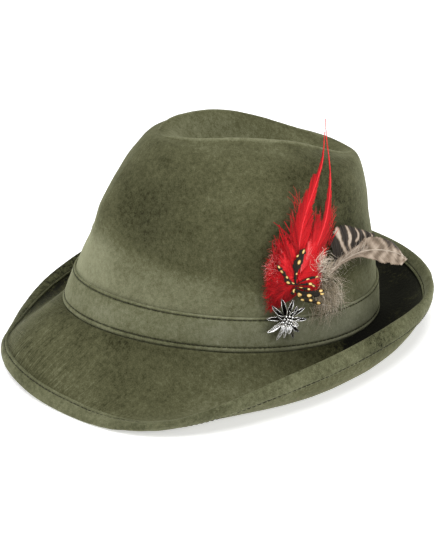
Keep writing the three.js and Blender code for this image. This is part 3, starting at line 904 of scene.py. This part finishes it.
# The two long feathers: turn, height and distance off the crown, then the breadths on their two sides
LONG_FEATHERS = {
    "left": (
        [(2.4, 46, 7), (2.8, 56, 6), (3.4, 66, 5), (4.4, 74, 4.5), (6, 82, 4), (8.1, 90, 4), (10.2, 98, 4),
         (12, 105.5, 4), (12.6, 113, 4), (12.8, 122.5, 4)],
        [3, 4.5, 5.2, 5.4, 5.2, 4.7, 4.2, 2.0, 0.5, 0.15],
        [3, 5, 7, 6.4, 4.6, 2.6, 1.1, 0.5, 0.3, 0.1],
    ),
    "right": (
        [(5, 46, 7), (8.5, 55, 6), (11.8, 64, 5), (14.4, 73, 4.4), (16, 82, 4), (16.7, 91, 4), (16.6, 100, 4),
         (15.5, 109.5, 4), (14, 119.3, 4), (13.1, 129.5, 4)],
        [3, 6, 8, 6.6, 3.6, 1.6, 0.7, 0.4, 0.3, 0.1],
        [2, 4, 6, 4.4, 2.4, 0.9, 0.5, 0.4, 0.3, 0.1],
    ),
}
# Spiky hackles at the tuft's upper left: turn and reach as a share of the tuft's
SPIKES = [(-29, 1.32), (-24, 1.2), (-33, 1.12), (-38, 1.1), (-18, 1.25), (-44, 1.05), (-9, 1.42), (-6, 1.2)]
# Painted shade on the tuft's hackles: tone, turn and spread
TUFT_PAINTED_SHADE = [(0.27, -140, 26), (0.1, -95, 40), (0.1, 66, 12), (0.12, -30, 18)]


def long_feathers():
    count = 80
    share, stops = np.linspace(0, 1, count), np.linspace(0, 1, 10)
    made = None
    for seed, (name, (rows, wide, narrow)) in enumerate(LONG_FEATHERS.items(), 41):
        path = turned(rows, count)
        breadths = [np.interp(share, stops, breadth) for breadth in (wide, narrow)]
        place, t, station, side = barbs(path, *breadths, 0.11, 16, 6, seed, 0.2)
        r = np.random.default_rng(seed + 100)
        streak = noise_over(seed, station[:, 0] / 1.3, side[:, 0] * 3.0, 0)
        high = station / station.max()
        tone = 0.6 + 0.11 * streak[:, None] + r.normal(0, 0.03, len(place))[:, None] - 0.12 * t * (side > 0)
        tone = tone - 0.1 * (side < 0) * (name == "right") * (1 - high) + 0.1 * bump(t, 0, 0.2) * high
        widths = (0.5 - 0.42 * t) * (1.05 - 0.4 * high)
        piece = ribbons(f"plume_vane_{name}", place, widths, r.normal(0, 0.25, len(place)), RED, tone)
        made = made or piece
        shaft(f"plume_shaft_{name}", path, 0.5, RED, 0.84)
    return made


def hackles():
    r = np.random.default_rng(43)
    rows = []
    # Broad soft hackles, then narrow spiky ones at the upper left and loose ones at the rim: each one's turn, share
    # of the tuft's reach, breadth, lean of its barbs and tone
    for turn in np.concatenate([np.linspace(-144, 136, 34), r.uniform(-140, 130, 40)]):
        rows.append((turn + r.normal(0, 4), r.uniform(0.7, 0.96), r.uniform(3.0, 4.6), 27, 0.64))
    for turn, reach in SPIKES:
        rows.append((turn, reach, 0.5, 7, 0.5))
        rows.append((turn + r.normal(0, 4), reach * r.uniform(0.7, 0.95), 0.45, 7, 0.42))
        rows.append((turn + r.normal(0, 5), reach * r.uniform(0.6, 0.9), 0.45, 7, 0.56))
    for turn in r.uniform(-60, 60, 16):
        rows.append((turn, r.uniform(0.6, 0.95), r.uniform(1.4, 2.6), 18, 0.72))
    places, tones, widths = [], [], []
    share_at = np.linspace(0, 1, 14)
    for k, (turn, share, broad, lean, tone) in enumerate(rows):
        reach = share * np.interp(turn, *TUFT.T)
        angle = math.radians(turn)
        way = np.array([math.sin(angle), math.cos(angle)])
        cross = np.array([way[1], -way[0]])
        root = PLUME_ROOT + way * r.uniform(0, 3) + cross * r.normal(0, 1.4)
        tip = PLUME_ROOT + way * reach
        sway = r.normal(0, 0.07) * reach
        high = r.uniform(4.6, 7.4)
        arch = np.sin(share_at * math.pi)
        line = root + (tip - root) * share_at[:, None] + cross * (sway * arch)[:, None]
        off = high + 0.9 * arch - (high - r.uniform(3.3, 4.6)) * share_at**1.6
        path = np.concatenate([line, off[:, None]], -1)
        outline = broad * np.interp(share_at, [0, 0.2, 0.55, 0.85, 1], [0.5, 0.9, 1, 0.6, 0.08])
        place, t, station, side = barbs(path, outline, outline, 0.24, lean, 5, 200 + k, 0.4)
        # Painted shade on the darker hackles, deeper towards the barbs' tips, and painted light on hackles that stand
        # further off the crown
        dark = sum(shade * bump(turn, middle, spread) for shade, middle, spread in TUFT_PAINTED_SHADE)
        streak = noise_over(44, station[:, 0] / 1.1, side[:, 0] * 3.0, k)
        shade = tone - dark * (0.4 + 0.6 * t) + r.normal(0, 0.06) + 0.07 * streak[:, None] + 0.06 * (high - 6)
        rim = np.clip(station / station.max() + 0.5 * t - 0.95, 0, 1) * (r.random(len(place)) < 0.25)[:, None]
        places.append(place)
        tones.append(shade + 0.5 * rim * bump(turn, -60, 40))
        widths.append(0.4 * (1 - 0.8 * t))
    places, tones, widths = (np.concatenate(v) for v in (places, tones, widths))
    return ribbons("plume_hackles", places, widths, r.normal(0, 0.35, len(places)), RED, tones)


def fluff():
    r = np.random.default_rng(45)
    count = 4200
    turn = r.uniform(-150, 138, count)
    reach = np.interp(turn, *TUFT.T)
    share = 1 - 0.7 * r.random(count) ** 1.5
    angle = np.radians(turn)
    root = np.stack([np.sin(angle), np.cos(angle)], -1) * (share * reach * 0.8)[:, None] + PLUME_ROOT
    length = r.uniform(2, 5.5, count) + 3.5 * bump(turn, -50, 40) * r.random(count)
    t = np.linspace(0, 1, 5)
    heading = (angle + r.normal(0, 0.45, count))[:, None] + r.normal(0, 0.6, count)[:, None] * t
    z = (7.2 - 3.4 * share)[:, None] + r.uniform(-0.4, 1.5, count)[:, None] * t
    pale = (bump(turn, -66, 30) + bump(turn, 85, 24)) * (r.random(count) < 0.4)
    # Painted shade at the tuft's lower left, as on the hackles
    tone = (0.62 - 0.24 * bump(turn, -140, 30) - 0.08 * bump(turn, -95, 40) + r.normal(0, 0.08, count))[:, None]
    tone = tone + (0.1 + 0.5 * pale[:, None]) * t
    widths = (r.uniform(0.13, 0.25, count) + 0.08 * pale)[:, None] * (1 - 0.7 * t)
    places = strands(root[:, 0], root[:, 1], z, heading, length[:, None] * t)
    return ribbons("plume_fluff", places, widths, r.normal(0, 0.9, count), RED, tone)


def tuft_body():
    turn = turns(64)
    share = np.linspace(0, 1, 18)[:, None]
    signed = (np.degrees(turn) + 180) % 360 - 180
    # The outline closes below through the pin's side
    closed = np.concatenate([[[-180, 16]], TUFT, [[180, 16]]])
    reach = 0.74 * np.interp(signed, *closed.T)
    rough = 1 + 0.14 * noise_over(51, np.cos(turn) * 4, np.sin(turn) * 4, 0)
    radius = np.sin(share * math.pi / 2) * reach * rough
    x = PLUME_ROOT[0] + radius * np.sin(turn)
    y = PLUME_ROOT[1] + radius * np.cos(turn)
    z = PLUME_SEAT + 3.4 * np.cos(share * math.pi / 2) ** 0.8 + 0 * turn
    top = np.stack([x, y, z], -1)
    low = np.stack([x, y, np.full_like(x, PLUME_SEAT)], -1)
    points, _ = on_trim(np.concatenate([top, low[::-1]]))
    faces = [tuple(reversed(face)) for face in ring_faces(len(points), 64)]
    tone = 0.5 + 0.12 * noise_over(52, np.cos(turn) * 16, np.sin(turn) * 16, 0.1 * radius)
    # Painted shade at the lower left, as on the hackles
    tone = tone - 0.18 * bump(signed, -140, 30) - 0.06 * bump(signed, -95, 40)
    tone = np.concatenate([tone, tone[::-1]])
    return add_object("plume_body", in_room(points), faces, RED, {"tone": tone.ravel()})


def hairs():
    r = np.random.default_rng(46)
    count = 240
    # Half stand between the two long feathers, and a quarter on each side of them

    def shared(draw, *ranges):
        parts = (count // 2, count // 4, count // 4)
        return np.concatenate([draw(a, b, part) for (a, b), part in zip(ranges, parts)])

    turn = shared(r.uniform, (5, 13), (0, 4), (16, 18))
    height = shared(r.uniform, (60, 76), (62, 88), (58, 76))
    aside = shared(r.normal, (0.1, 0.3), (-0.4, 0.2), (0.4, 0.25))
    t = np.linspace(0, 1, 5)
    heading = aside[:, None] + r.normal(0, 0.3, count)[:, None] * t
    length = r.uniform(4, 9, count)[:, None] * t
    z = 4 + r.uniform(-0.4, 1.2, count)[:, None] * t
    tone = r.uniform(0.25, 0.8, count)[:, None] + 0.1 * t
    places = strands(turn * DEGREE, height, z, heading, length)
    ribbons("plume_hairs", places, 0.24 * (1 - 0.7 * t), r.normal(0, 0.8, count), RED, tone)


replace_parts(long_feathers(), "red_plume")
hackles()
fluff()
tuft_body()
hairs()


# Spotted feathers: small dark blades with cream spots, spread from under the pin

SPOTS = [
    # turn, height, half length, half breadth
    (2.0, 57.0, 1.3, 0.8), (4.1, 58.6, 1.3, 0.75), (2.6, 53.2, 1.5, 1.05), (5.1, 55.6, 1.2, 0.7),
    (2.0, 45.8, 0.9, 0.7), (-4.5, 51.0, 1.1, 0.6), (-3.5, 48.0, 1.3, 0.75), (-1.5, 44.0, 1.2, 0.7),
    (-1.0, 40.5, 1.3, 0.8), (1.0, 40.2, 1.2, 0.8), (6.0, 41.6, 1.2, 0.6), (9.5, 42.2, 1.2, 0.6),
    (7.0, 38.6, 1.4, 0.85), (8.1, 37.1, 1.2, 0.7), (6.4, 35.6, 1.1, 0.7), (3.6, 37.6, 1.5, 0.9),
    (1.0, 35.6, 1.3, 0.9), (3.0, 33.0, 1.5, 1.1), (6.5, 32.0, 1.7, 1.0), (11.0, 33.7, 1.4, 0.85),
    (11.5, 32.0, 1.5, 0.9), (10.0, 27.2, 1.4, 0.85), (4.0, 30.0, 1.2, 0.7), (7.0, 29.4, 1.2, 0.7),
]
BLADES = [
    # rows of turn and height from root to tip, then the greatest breadth
    ([(2.0, 39), (1.6, 46.5), (2.4, 53), (4.6, 60)], 5.2),
    ([(2.2, 38.5), (-0.4, 41.5), (-3.0, 47.5), (-5.3, 52.4)], 2.4),
    ([(2.0, 38.5), (0.6, 39.6), (-0.8, 40.8), (-2.4, 43.6)], 2.6),
    ([(2.0, 38.5), (4.0, 40.6), (7.0, 42.0), (10.4, 42.4)], 1.8),
    ([(2.0, 38.5), (4.4, 38.6), (7.0, 38.4), (9.4, 36.2)], 1.9),
    ([(2.0, 37.5), (3.6, 36.8), (5.6, 36), (7.4, 35)], 1.7),
    ([(1.5, 37), (4.0, 34.5), (7.5, 33.2), (12.6, 33.4)], 2.1),
    ([(1.5, 36), (4.5, 33.6), (8, 32), (12.6, 31.6)], 1.9),
    ([(1.5, 37), (3.0, 33.5), (5.6, 32), (8.4, 31.6)], 2.4),
    ([(1.5, 36), (3.4, 31), (6.6, 29.2), (11.4, 26.6)], 2.2),
    ([(2, 38), (1.0, 36), (0.6, 34.8), (0.9, 33.2)], 2.2),
]


def spotted_feathers():
    along, over = 56, 15
    for n, (rows, breadth) in enumerate(BLADES):
        path = turned([(turn, height, 0) for turn, height in rows], along)[:, :2]
        ahead = normalised(np.gradient(path, axis=0))
        across = np.stack([-ahead[:, 1], ahead[:, 0]], -1)
        u, v = grid(along, over)
        half = breadth / 2 * np.interp(u, [0, 0.3, 0.55, 0.8, 0.93, 1], [0.25, 0.4, 0.85, 1, 0.75, 0.1])
        half = half * (1 + 0.35 * noise_over(62, u * 18, v, n) * np.abs(v))
        flat = path[:, None] + across[:, None] * (v * half)[..., None]
        tone = 0.17 + 0.12 * noise_over(63, u * 24, v * 2, n) + 0.08 * np.abs(v)
        for turn, height, long, wide in SPOTS:
            gap = flat - np.array([turn * DEGREE, height])
            ahead_gap = (gap * ahead[:, None]).sum(-1) / long
            side_gap = (gap * across[:, None]).sum(-1) / wide
            tone = np.maximum(tone, 0.16 + 0.74 * fall(np.hypot(ahead_gap, side_gap), 0.95, 0.12))
        high = SPOTTED_SEAT - 0.5 + 0.14 * n + 0.8 * np.sin(u * math.pi * 0.8) - 0.5 * v**2
        places = np.concatenate([flat, high[..., None]], -1)
        made = sheet(f"spotted_blade_{n}" if n else "spotted_blade", places, SPOTTED, tone)
        if n == 0:
            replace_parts(made, "spotted_feathers")


spotted_feathers()


# Barred feather: a barred vane over its shaft, then a mottled leaf that curves off the crown

BARS = [
    # rows of turn, height and half breadth, from the vane's edge towards the shaft
    [(19.0, 68.5, 2.8), (20.8, 64.5, 2.4), (22.0, 60.0, 1.3), (23.2, 56.0, 1.1), (24.8, 51.5, 1.2)],
    [(25.6, 67.5, 0.7), (26.6, 63.5, 1.1), (27.0, 60.0, 1.4), (26.2, 56.5, 1.0), (27.0, 53.0, 0.6)],
    [(31.0, 64.0, 0.6), (31.9, 61.0, 0.9), (31.4, 58.5, 1.0), (29.8, 57.2, 0.7)],
    [(35.2, 61.0, 0.5), (35.6, 58.5, 0.8), (35.4, 56.0, 0.7)],
    [(39.5, 58.5, 0.5), (39.6, 56.5, 0.6), (39.0, 54.5, 0.6)],
]


def barred_vane():
    columns, rows = 170, 34
    low = [(17.6, 42, 4.2), (19.5, 47, 4.4), (24, 50.3, 5), (29, 53, 6), (34, 54.5, 7), (39, 54.5, 8)]
    high = [(16.4, 62, 3.2), (19.5, 68.6, 3.2), (25.4, 68, 3.4), (31, 64.6, 4), (36.4, 60.8, 5), (41, 57, 7)]
    low, high = turned(low, columns), turned(high, columns)
    u, v = grid(columns, rows, 0)
    fray = noise_over(71, u * 60, 0, 0) + 0.6 * noise_over(72, u * 190, 0, 0)
    reach = v * (0.93 + 0.06 * fray)
    places = low[:, None] + (high - low)[:, None] * reach[..., None]
    places[..., 0] += 2.4 * np.sin(reach * math.pi)
    places[..., 2] += 1.0 * np.sin(reach * math.pi) + 0.25 * noise_over(73, u * 55, v * 2, 0)
    tone = 0.11 + 0.07 * noise_over(74, u * 80, v * 2.5, 0)
    for line in BARS:
        line = turned(line, 40)
        gaps = np.linalg.norm(places[..., None, :2] - line[:, :2], axis=-1) - line[:, 2]
        edge = gaps.min(-1) + 0.35 * smooth_noise(places / 1.1, 75)
        tone = np.maximum(tone, 0.12 + 0.66 * fall(edge, 0, 0.28))
    tone = np.where(v < 0.1, np.maximum(tone, 0.62), tone)
    tone = tone + 0.06 * noise_over(76, u * 120, v * 3, 0)
    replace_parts(sheet("barred_vane", places, BARRED, tone), "barred_feather")
    shaft("barred_shaft", low + np.array([0, 0, 0.4]), 0.5, BARRED, 0.82)


def barred_leaf():
    columns, rows = 240, 61
    path = turned([(16.5, 42, 5), (20, 47.5, 6), (25, 50, 6.8), (30, 51, 8), (34.5, 50.6, 11), (39, 48.4, 14.4),
                   (43, 44.8, 17.8), (46, 41, 20.4), (48, 38, 22)], columns)
    share = np.linspace(0, 1, columns)
    stops = np.linspace(0, 1, 9)
    above = np.interp(share, stops, [0.6, 0.9, 1.6, 3.6, 6.6, 7.2, 6.8, 5.4, 0.8])
    below = np.interp(share, stops, [0.6, 0.9, 1.4, 3.0, 6.2, 8.0, 7.8, 6.2, 0.8])
    u, v = grid(columns, rows)
    fray = noise_over(81, u * 40 - np.abs(v) * 2, np.sign(v), 0)
    fray = fray + 0.5 * noise_over(82, u * 150 - np.abs(v) * 4, np.sign(v), 0)
    breadth = np.where(v > 0, above[:, None], below[:, None]) * (1 + 0.07 * fray * np.abs(v) ** 3)
    places = path[:, None] + sideways(path)[:, None] * (v * breadth)[..., None]
    lines = noise_over(83, u * 90 - np.abs(v) * 12, np.abs(v) * 2, np.sign(v))
    places[..., 2] += 0.16 * lines - 2.2 * v * np.abs(v) - 0.6 * v**2
    run = u * 52
    bars = np.sin(2 * math.pi * (run + 2.4 * np.abs(v)) / 6.6 + 1.3 * noise_over(84, u * 8, v * 1.5, 0))
    mottle = noise_over(85, u * 22, v * 3, 0)
    tone = 0.58 + 0.11 * bars * np.clip((u - 0.35) / 0.1, 0, 1) + 0.1 * mottle + 0.07 * lines
    tone = tone - 0.34 * bump(u, 0.8, 0.16) * np.clip((v - 0.25) / 0.5, 0, 1)
    tone = tone + 0.12 * bump(u, 0.97, 0.05) + 0.12 * bump(v, 0, 0.05) - 0.12 * (v < -0.9)
    sheet("barred_leaf", places, BARRED, tone)
    shaft("leaf_shaft", path + np.array([0, 0, 0.35]), 0.42, BARRED, 0.78)


def barred_wisps():
    r = np.random.default_rng(91)
    count = 260
    share = r.random(count)
    low = turned([(16.5, 42, 5.5), (20, 47.5, 6.4), (25, 50, 7.2), (30, 51, 8.4), (35, 52, 11)], 60)
    root = at_run(share * 0.9, np.linspace(0, 1, 60), low)
    t = np.linspace(0, 1, 5)
    heading = r.normal(0.75, 0.35, count) + np.where(r.random(count) < 0.3, 1.0, 0)
    heading = heading[:, None] + r.normal(0, 0.4, count)[:, None] * t
    length = r.uniform(3, 9, count)[:, None] * t
    places = strands(root[:, 0], root[:, 1], root[:, 2:] + 0.8 * t, heading, length)
    tone = r.uniform(0.45, 0.9, count)[:, None]
    ribbons("barred_wisps", places, 0.22 * (1 - 0.7 * t), r.normal(0, 0.8, count), BARRED, tone)


barred_vane()
barred_leaf()
barred_wisps()


# Grey-brown down: a soft core at the right of the tuft, and wisps that spread over the crown and the band


LOWEST_DOWN = 5.5
# Wisps as middle turn and height of the roots, their spread, the heading from straight up in degrees with its
# spread, the length and its spread, the width, the tone and how many
WISPS = [
    ((14.0, 36), (1.4, 5.0), (120, 30), (6.5, 2.2), 0.55, 0.34, 90),
    ((16.0, 31), (2.2, 4.0), (135, 26), (7, 2.2), 0.45, 0.42, 80),
    ((14.5, 27), (2.2, 2.4), (165, 22), (6, 2), 0.4, 0.46, 40),
    ((14.5, 37), (1.8, 6.0), (118, 36), (8.5, 3), 0.24, 0.56, 180),
    ((17.0, 31), (2.6, 4.2), (132, 32), (9, 3), 0.2, 0.66, 140),
    ((14, 27.5), (2.6, 3.0), (172, 24), (9, 3), 0.22, 0.6, 70),
    ((17, 34), (2.6, 5), (118, 26), (13.5, 4), 0.17, 0.92, 90),
    ((15, 27), (3.4, 3), (168, 20), (12, 3.5), 0.15, 0.86, 50),
    ((12.3, 50.5), (1.6, 2.2), (-50, 60), (4.8, 1.6), 0.28, 0.94, 130),
    ((13.5, 46.5), (1.4, 3.4), (80, 50), (5.5, 2), 0.28, 0.78, 120),
    ((22, 52), (4, 4), (40, 40), (6, 2.5), 0.16, 0.62, 40),
]


def grey_down():
    r = np.random.default_rng(101)
    t = np.linspace(0, 1, 7)
    places, widths, tones = [], [], []
    for (turn, height), (wide, tall), (way, fan), (reach, spread), width, tone, count in WISPS:
        x = (turn + r.normal(0, wide, count)) * DEGREE
        y = height + r.normal(0, tall, count)
        heading = np.radians(way + r.normal(0, fan, count))[:, None] + (r.normal(0.25, 0.5, count))[:, None] * t
        length = np.clip(r.normal(reach, spread, count), 2, 20)[:, None] * t
        wave = 0.25 * np.sin(t * 8 + r.uniform(0, 6.3, count)[:, None]) * t
        lift = 3.4 if tone > 0.7 and height > 45 else 0.6
        z = DOWN_SEAT + lift + r.gamma(2, 0.6, count)[:, None] + r.uniform(-0.4, 2.0, count)[:, None] * t
        place = strands(x, y, np.maximum(z, DOWN_SEAT + 0.15), heading, length)
        place[..., :2] += wave[..., None]
        place[..., 1] = np.maximum(place[..., 1], LOWEST_DOWN)
        places.append(place)
        widths.append(r.uniform(0.7, 1.2, count)[:, None] * width * (1 - 0.75 * t))
        tones.append((tone - 0.02 + r.normal(0, 0.13, count))[:, None] + 0.1 * t)
    places, widths, tones = (np.concatenate(v) for v in (places, widths, tones))
    made = ribbons("down_wisps", places, widths, r.normal(0, 0.9, len(places)), GREY, tones)
    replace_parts(made, "grey_down")


grey_down()


# Pin: a cast edelweiss with raised rims and a vein on each petal, and a boss of beads

PIN_STAND = 3.4
PIN_LEAN = 12.0
PIN_CENTRE = (-0.4, 0.8)
# Direction in degrees from along the band, reach and width of each petal, and the painted highlight that makes the
# lower ones light
OUTER_PETALS = [
    (113, 13.6, 3.0, 0.0), (82, 12.2, 2.8, 0.1), (60, 9.6, 2.0, 0.1), (39, 12, 2.4, 0.1), (3, 12, 2.2, 0.1),
    (-42, 11.4, 2.8, 0.1), (-65, 13.0, 2.8, 0.3), (-90, 11.4, 2.8, 0.9), (-110, 13.6, 2.4, 0.6),
    (-143, 13.2, 3.0, 0.7), (178, 12.4, 2.8, 0.0), (141, 13.4, 2.6, 0.1),
]
INNER_PETALS = [
    (20, 7, 2.6, 0.2), (-25, 7.4, 3.0, 0.6), (-78, 8.4, 3.4, 0.95), (-112, 8.2, 3.0, 0.9), (-160, 6.6, 2.6, 0.3),
    (155, 7, 2.6, 0.1), (100, 6.8, 2.6, 0.1), (64, 6.6, 2.4, 0.1),
]


def pin_place(points):
    angle = np.array(math.radians(TRIM_ANGLE))
    rise = rise_at(angle, BAND_HEIGHT)
    up, out = crown_upward(angle, rise), crown_outward(angle, rise)
    side = np.cross(up, out)
    x, y, z = np.moveaxis(tipped(points, PIN_LEAN)[..., None], -2, 0)
    return on_crown(angle, BAND_HEIGHT, DOWN_SEAT) + side * x + up * y + out * z


def petal(turn, reach, width, shade, low, rise, seed):
    along, over = 30, 21
    u, v = grid(along, over)
    half = width / 2 * np.interp(u, [0, 0.15, 0.45, 0.75, 0.93, 1], [0.5, 0.62, 1, 0.8, 0.36, 0.06])
    x = 1.2 + (reach - 1.2) * u
    y = v * half + 0.5 * math.sin(seed * 2.4) * np.sin(u * math.pi)
    z = low + rise * np.sin(u * math.pi * 0.62) - 0.4 * u**3
    rim = bump(np.abs(v), 0.84, 0.2)
    vein = bump(v, 0, 0.14) * (1 - u)
    top = z + (0.42 * rim + 0.26 * vein) * np.minimum(1, 5 * (1 - u)) + 0.3 * v**2
    under = z - 0.55 + 0.3 * v**2
    angle = math.radians(turn)
    cosine, sine = math.cos(angle), math.sin(angle)
    x, y = PIN_CENTRE[0] + x * cosine - y * sine, PIN_CENTRE[1] + x * sine + y * cosine
    top, under = (np.stack([x, y, height], -1) for height in (top, under))
    worn = 0.12 * noise_over(111, u * 9, v * 3, seed)
    # The lower petals carry a painted highlight, while the dark hollows and the bright rims and veins are the metal's
    # patina and polish
    tone = 0.08 + shade * bump(v, 0, 0.8) * np.clip(1.8 * u, 0, 1) + rim * (0.4 + 0.6 * u) + 0.7 * vein * u + worn
    tone = np.clip(tone, 0, 1)
    # Round from the top over one edge to the underside and back
    loop = np.concatenate([top, under[:, ::-1]], 1)
    tones = np.concatenate([tone, 0.3 + 0 * tone], 1)
    count = loop.shape[1]
    faces = ring_faces(along, count, along - 1)
    faces += [tuple(range(count - 1, -1, -1)), tuple((along - 1) * count + i for i in range(count))]
    return loop.reshape(-1, 3), faces, tones.ravel()


def ball(centre, radius, tone):
    rows, count = 9, 14
    turn = turns(count)
    points = [np.array([[0, 0, 1.0]])]
    for k in range(1, rows):
        polar = math.pi * k / rows
        flat = math.sin(polar)
        points.append(np.stack([flat * np.cos(turn), flat * np.sin(turn), np.full(count, math.cos(polar))], -1))
    points.append(np.array([[0, 0, -1.0]]))
    points = np.concatenate(points) * radius
    faces = [(0, 1 + i, 1 + (i + 1) % count) for i in range(count)]
    for k in range(rows - 2):
        a, b = 1 + k * count, 1 + (k + 1) * count
        faces += [(a + i, b + i, b + (i + 1) % count, a + (i + 1) % count) for i in range(count)]
    last = len(points) - 1
    a = 1 + (rows - 2) * count
    faces += [(a + i, last, a + (i + 1) % count) for i in range(count)]
    tones = np.clip(tone * (0.25 + 0.75 * np.clip(points[:, 2] / radius, 0, 1)), 0, 1)
    return points + np.array(centre), faces, tones


def bead(turn, out, height, radius):
    return ball((PIN_CENTRE[0] + out * math.cos(turn), PIN_CENTRE[1] + out * math.sin(turn), height), radius, 0.9)


def pin():
    s = Shader("antique_silver", Metallic=0.8, Roughness=0.27)
    tone = s.math("ADD", s.layer("tone"), s.spread(s.noise(1400, 3), 0.3), True)
    s.colour(s.ramp(tone, [(0.0, "080705"), (0.3, "25231e"), (0.52, "c8c4b8"), (0.72, "ffffff")]))
    s.relief(s.noise(900, 3), 0.35, 0.0003)
    parts = [petal(*row, PIN_STAND, 1.9, k) for k, row in enumerate(OUTER_PETALS)]
    parts += [petal(*row, PIN_STAND + 1.3, 2.3, k) for k, row in enumerate(INNER_PETALS, 20)]
    # The boss: a low dome under nine beads and four more
    parts.append(ball((*PIN_CENTRE, PIN_STAND + 1.5), 2.3, 0.25))
    top = PIN_STAND + 3.6
    for k in range(9):
        parts.append(bead(2 * math.pi * k / 9, 2.5 + 0.5 * (k % 2), top - 0.5, 0.78))
    for k in range(4):
        parts.append(bead(2 * math.pi * (k + 0.3) / 4, 1.15, top + 0.1, 0.72))
    # The post that holds it, flat where it meets the band
    post = ball((0, 0, PIN_STAND / 2 + 0.6), 2.0, 0.1)
    post[0][:, 2] = np.maximum(post[0][:, 2], 0)
    parts.append(post)
    points, faces, tones = [], [], []
    for place, sides, shade in parts:
        start = sum(len(p) for p in points)
        points.append(place)
        faces += [tuple(start + i for i in side) for side in sides]
        tones.append(shade)
    points, tones = in_room(pin_place(np.concatenate(points))), np.concatenate(tones)
    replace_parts(add_object("edelweiss", points, faces, (s.material, "pin_metal"), {"tone": tones}), "edelweiss_pin")


pin()


# Floor, lights and camera


# Half the floor's side in metres, far enough that a low view doesn't see past it, and how much it shines itself
FLOOR_HALF = 12.0
FLOOR_GLOW = 0.5
SKY_STRENGTH = 0.24
# Lights: place and aim in metres, the disc's size and the power in watts
LIGHTS = [
    ("top", (0.35, -0.1, 1.9), (0, 0, 0.08), 1.4, 31),
    ("left", (-0.5, -1.6, 1.0), (0, 0, 0.06), 1.0, 11),
    ("right", (1.5, 1.0, 0.7), (0, 0, 0.06), 1.0, 13),
]


def floor():
    mesh = bpy.data.meshes.new("floor")
    corners = [(x * FLOOR_HALF, y * FLOOR_HALF, 0) for x, y in ((-1, -1), (1, -1), (1, 1), (-1, 1))]
    mesh.from_pydata(corners, [], [(0, 1, 2, 3)])
    obj = new_object("floor", mesh)
    s = Shader("pale_floor", Roughness=0.9, Base_Color=(0.93, 0.93, 0.93, 1))
    s.main.inputs["Emission Color"].default_value = (1, 1, 1, 1)
    s.main.inputs["Emission Strength"].default_value = FLOOR_GLOW
    mesh.materials.append(s.material)


def area_light(name, place, aim, size, power):
    data = bpy.data.lights.new(name, "AREA")
    data.shape = "DISK"
    data.size = size
    data.energy = power
    obj = new_object(name, data)
    obj.location = place
    obj.rotation_euler = (Vector(aim) - Vector(place)).to_track_quat("-Z", "Y").to_euler()


def room():
    floor()
    world = bpy.data.worlds.new("room")
    world.use_nodes = True
    sky = world.node_tree.nodes["Background"]
    sky.inputs["Color"].default_value = (1, 1, 1, 1)
    sky.inputs["Strength"].default_value = SKY_STRENGTH
    bpy.context.scene.world = world
    for light in LIGHTS:
        area_light(*light)
    bpy.context.scene.view_settings.view_transform = "Standard"


# The camera was set up on the level hat: its bearing, height and roll in degrees and its distance in metres. It
# then moves with the hat on to the brim's rest. Lens and sensor are in millimetres, and the shift is a share of
# the picture's longer side.
VIEW_TURN, VIEW_HEIGHT, VIEW_ROLL, VIEW_DISTANCE = 67.49, 21.51, 3.32, 0.738
LENS, SENSOR = 78.92, 36
SHIFT_X, SHIFT_Y = -0.00716, 0.04970


def camera():
    turn, up, roll = (math.radians(v) for v in (VIEW_TURN, VIEW_HEIGHT, VIEW_ROLL))
    back = Vector((math.sin(turn) * math.cos(up), -math.cos(turn) * math.cos(up), math.sin(up)))
    right = Vector((math.cos(turn), math.sin(turn), 0))
    above = back.cross(right)
    side = right * math.cos(roll) + above * math.sin(roll)
    above = back.cross(side)
    pose = Matrix((side, above, back)).transposed().to_4x4()
    pose.translation = back * VIEW_DISTANCE
    rest = Matrix.Translation(Vector(REST_SHIFT) * MM) @ Matrix.Rotation(math.radians(REST_TIP), 4, "X")
    data = bpy.data.cameras.new("camera")
    data.lens = LENS
    data.sensor_width = SENSOR
    data.shift_x = SHIFT_X
    data.shift_y = SHIFT_Y
    data.clip_start = 0.05
    obj = new_object("camera", data)
    obj.matrix_world = rest @ pose
    bpy.context.scene.camera = obj


room()
camera()
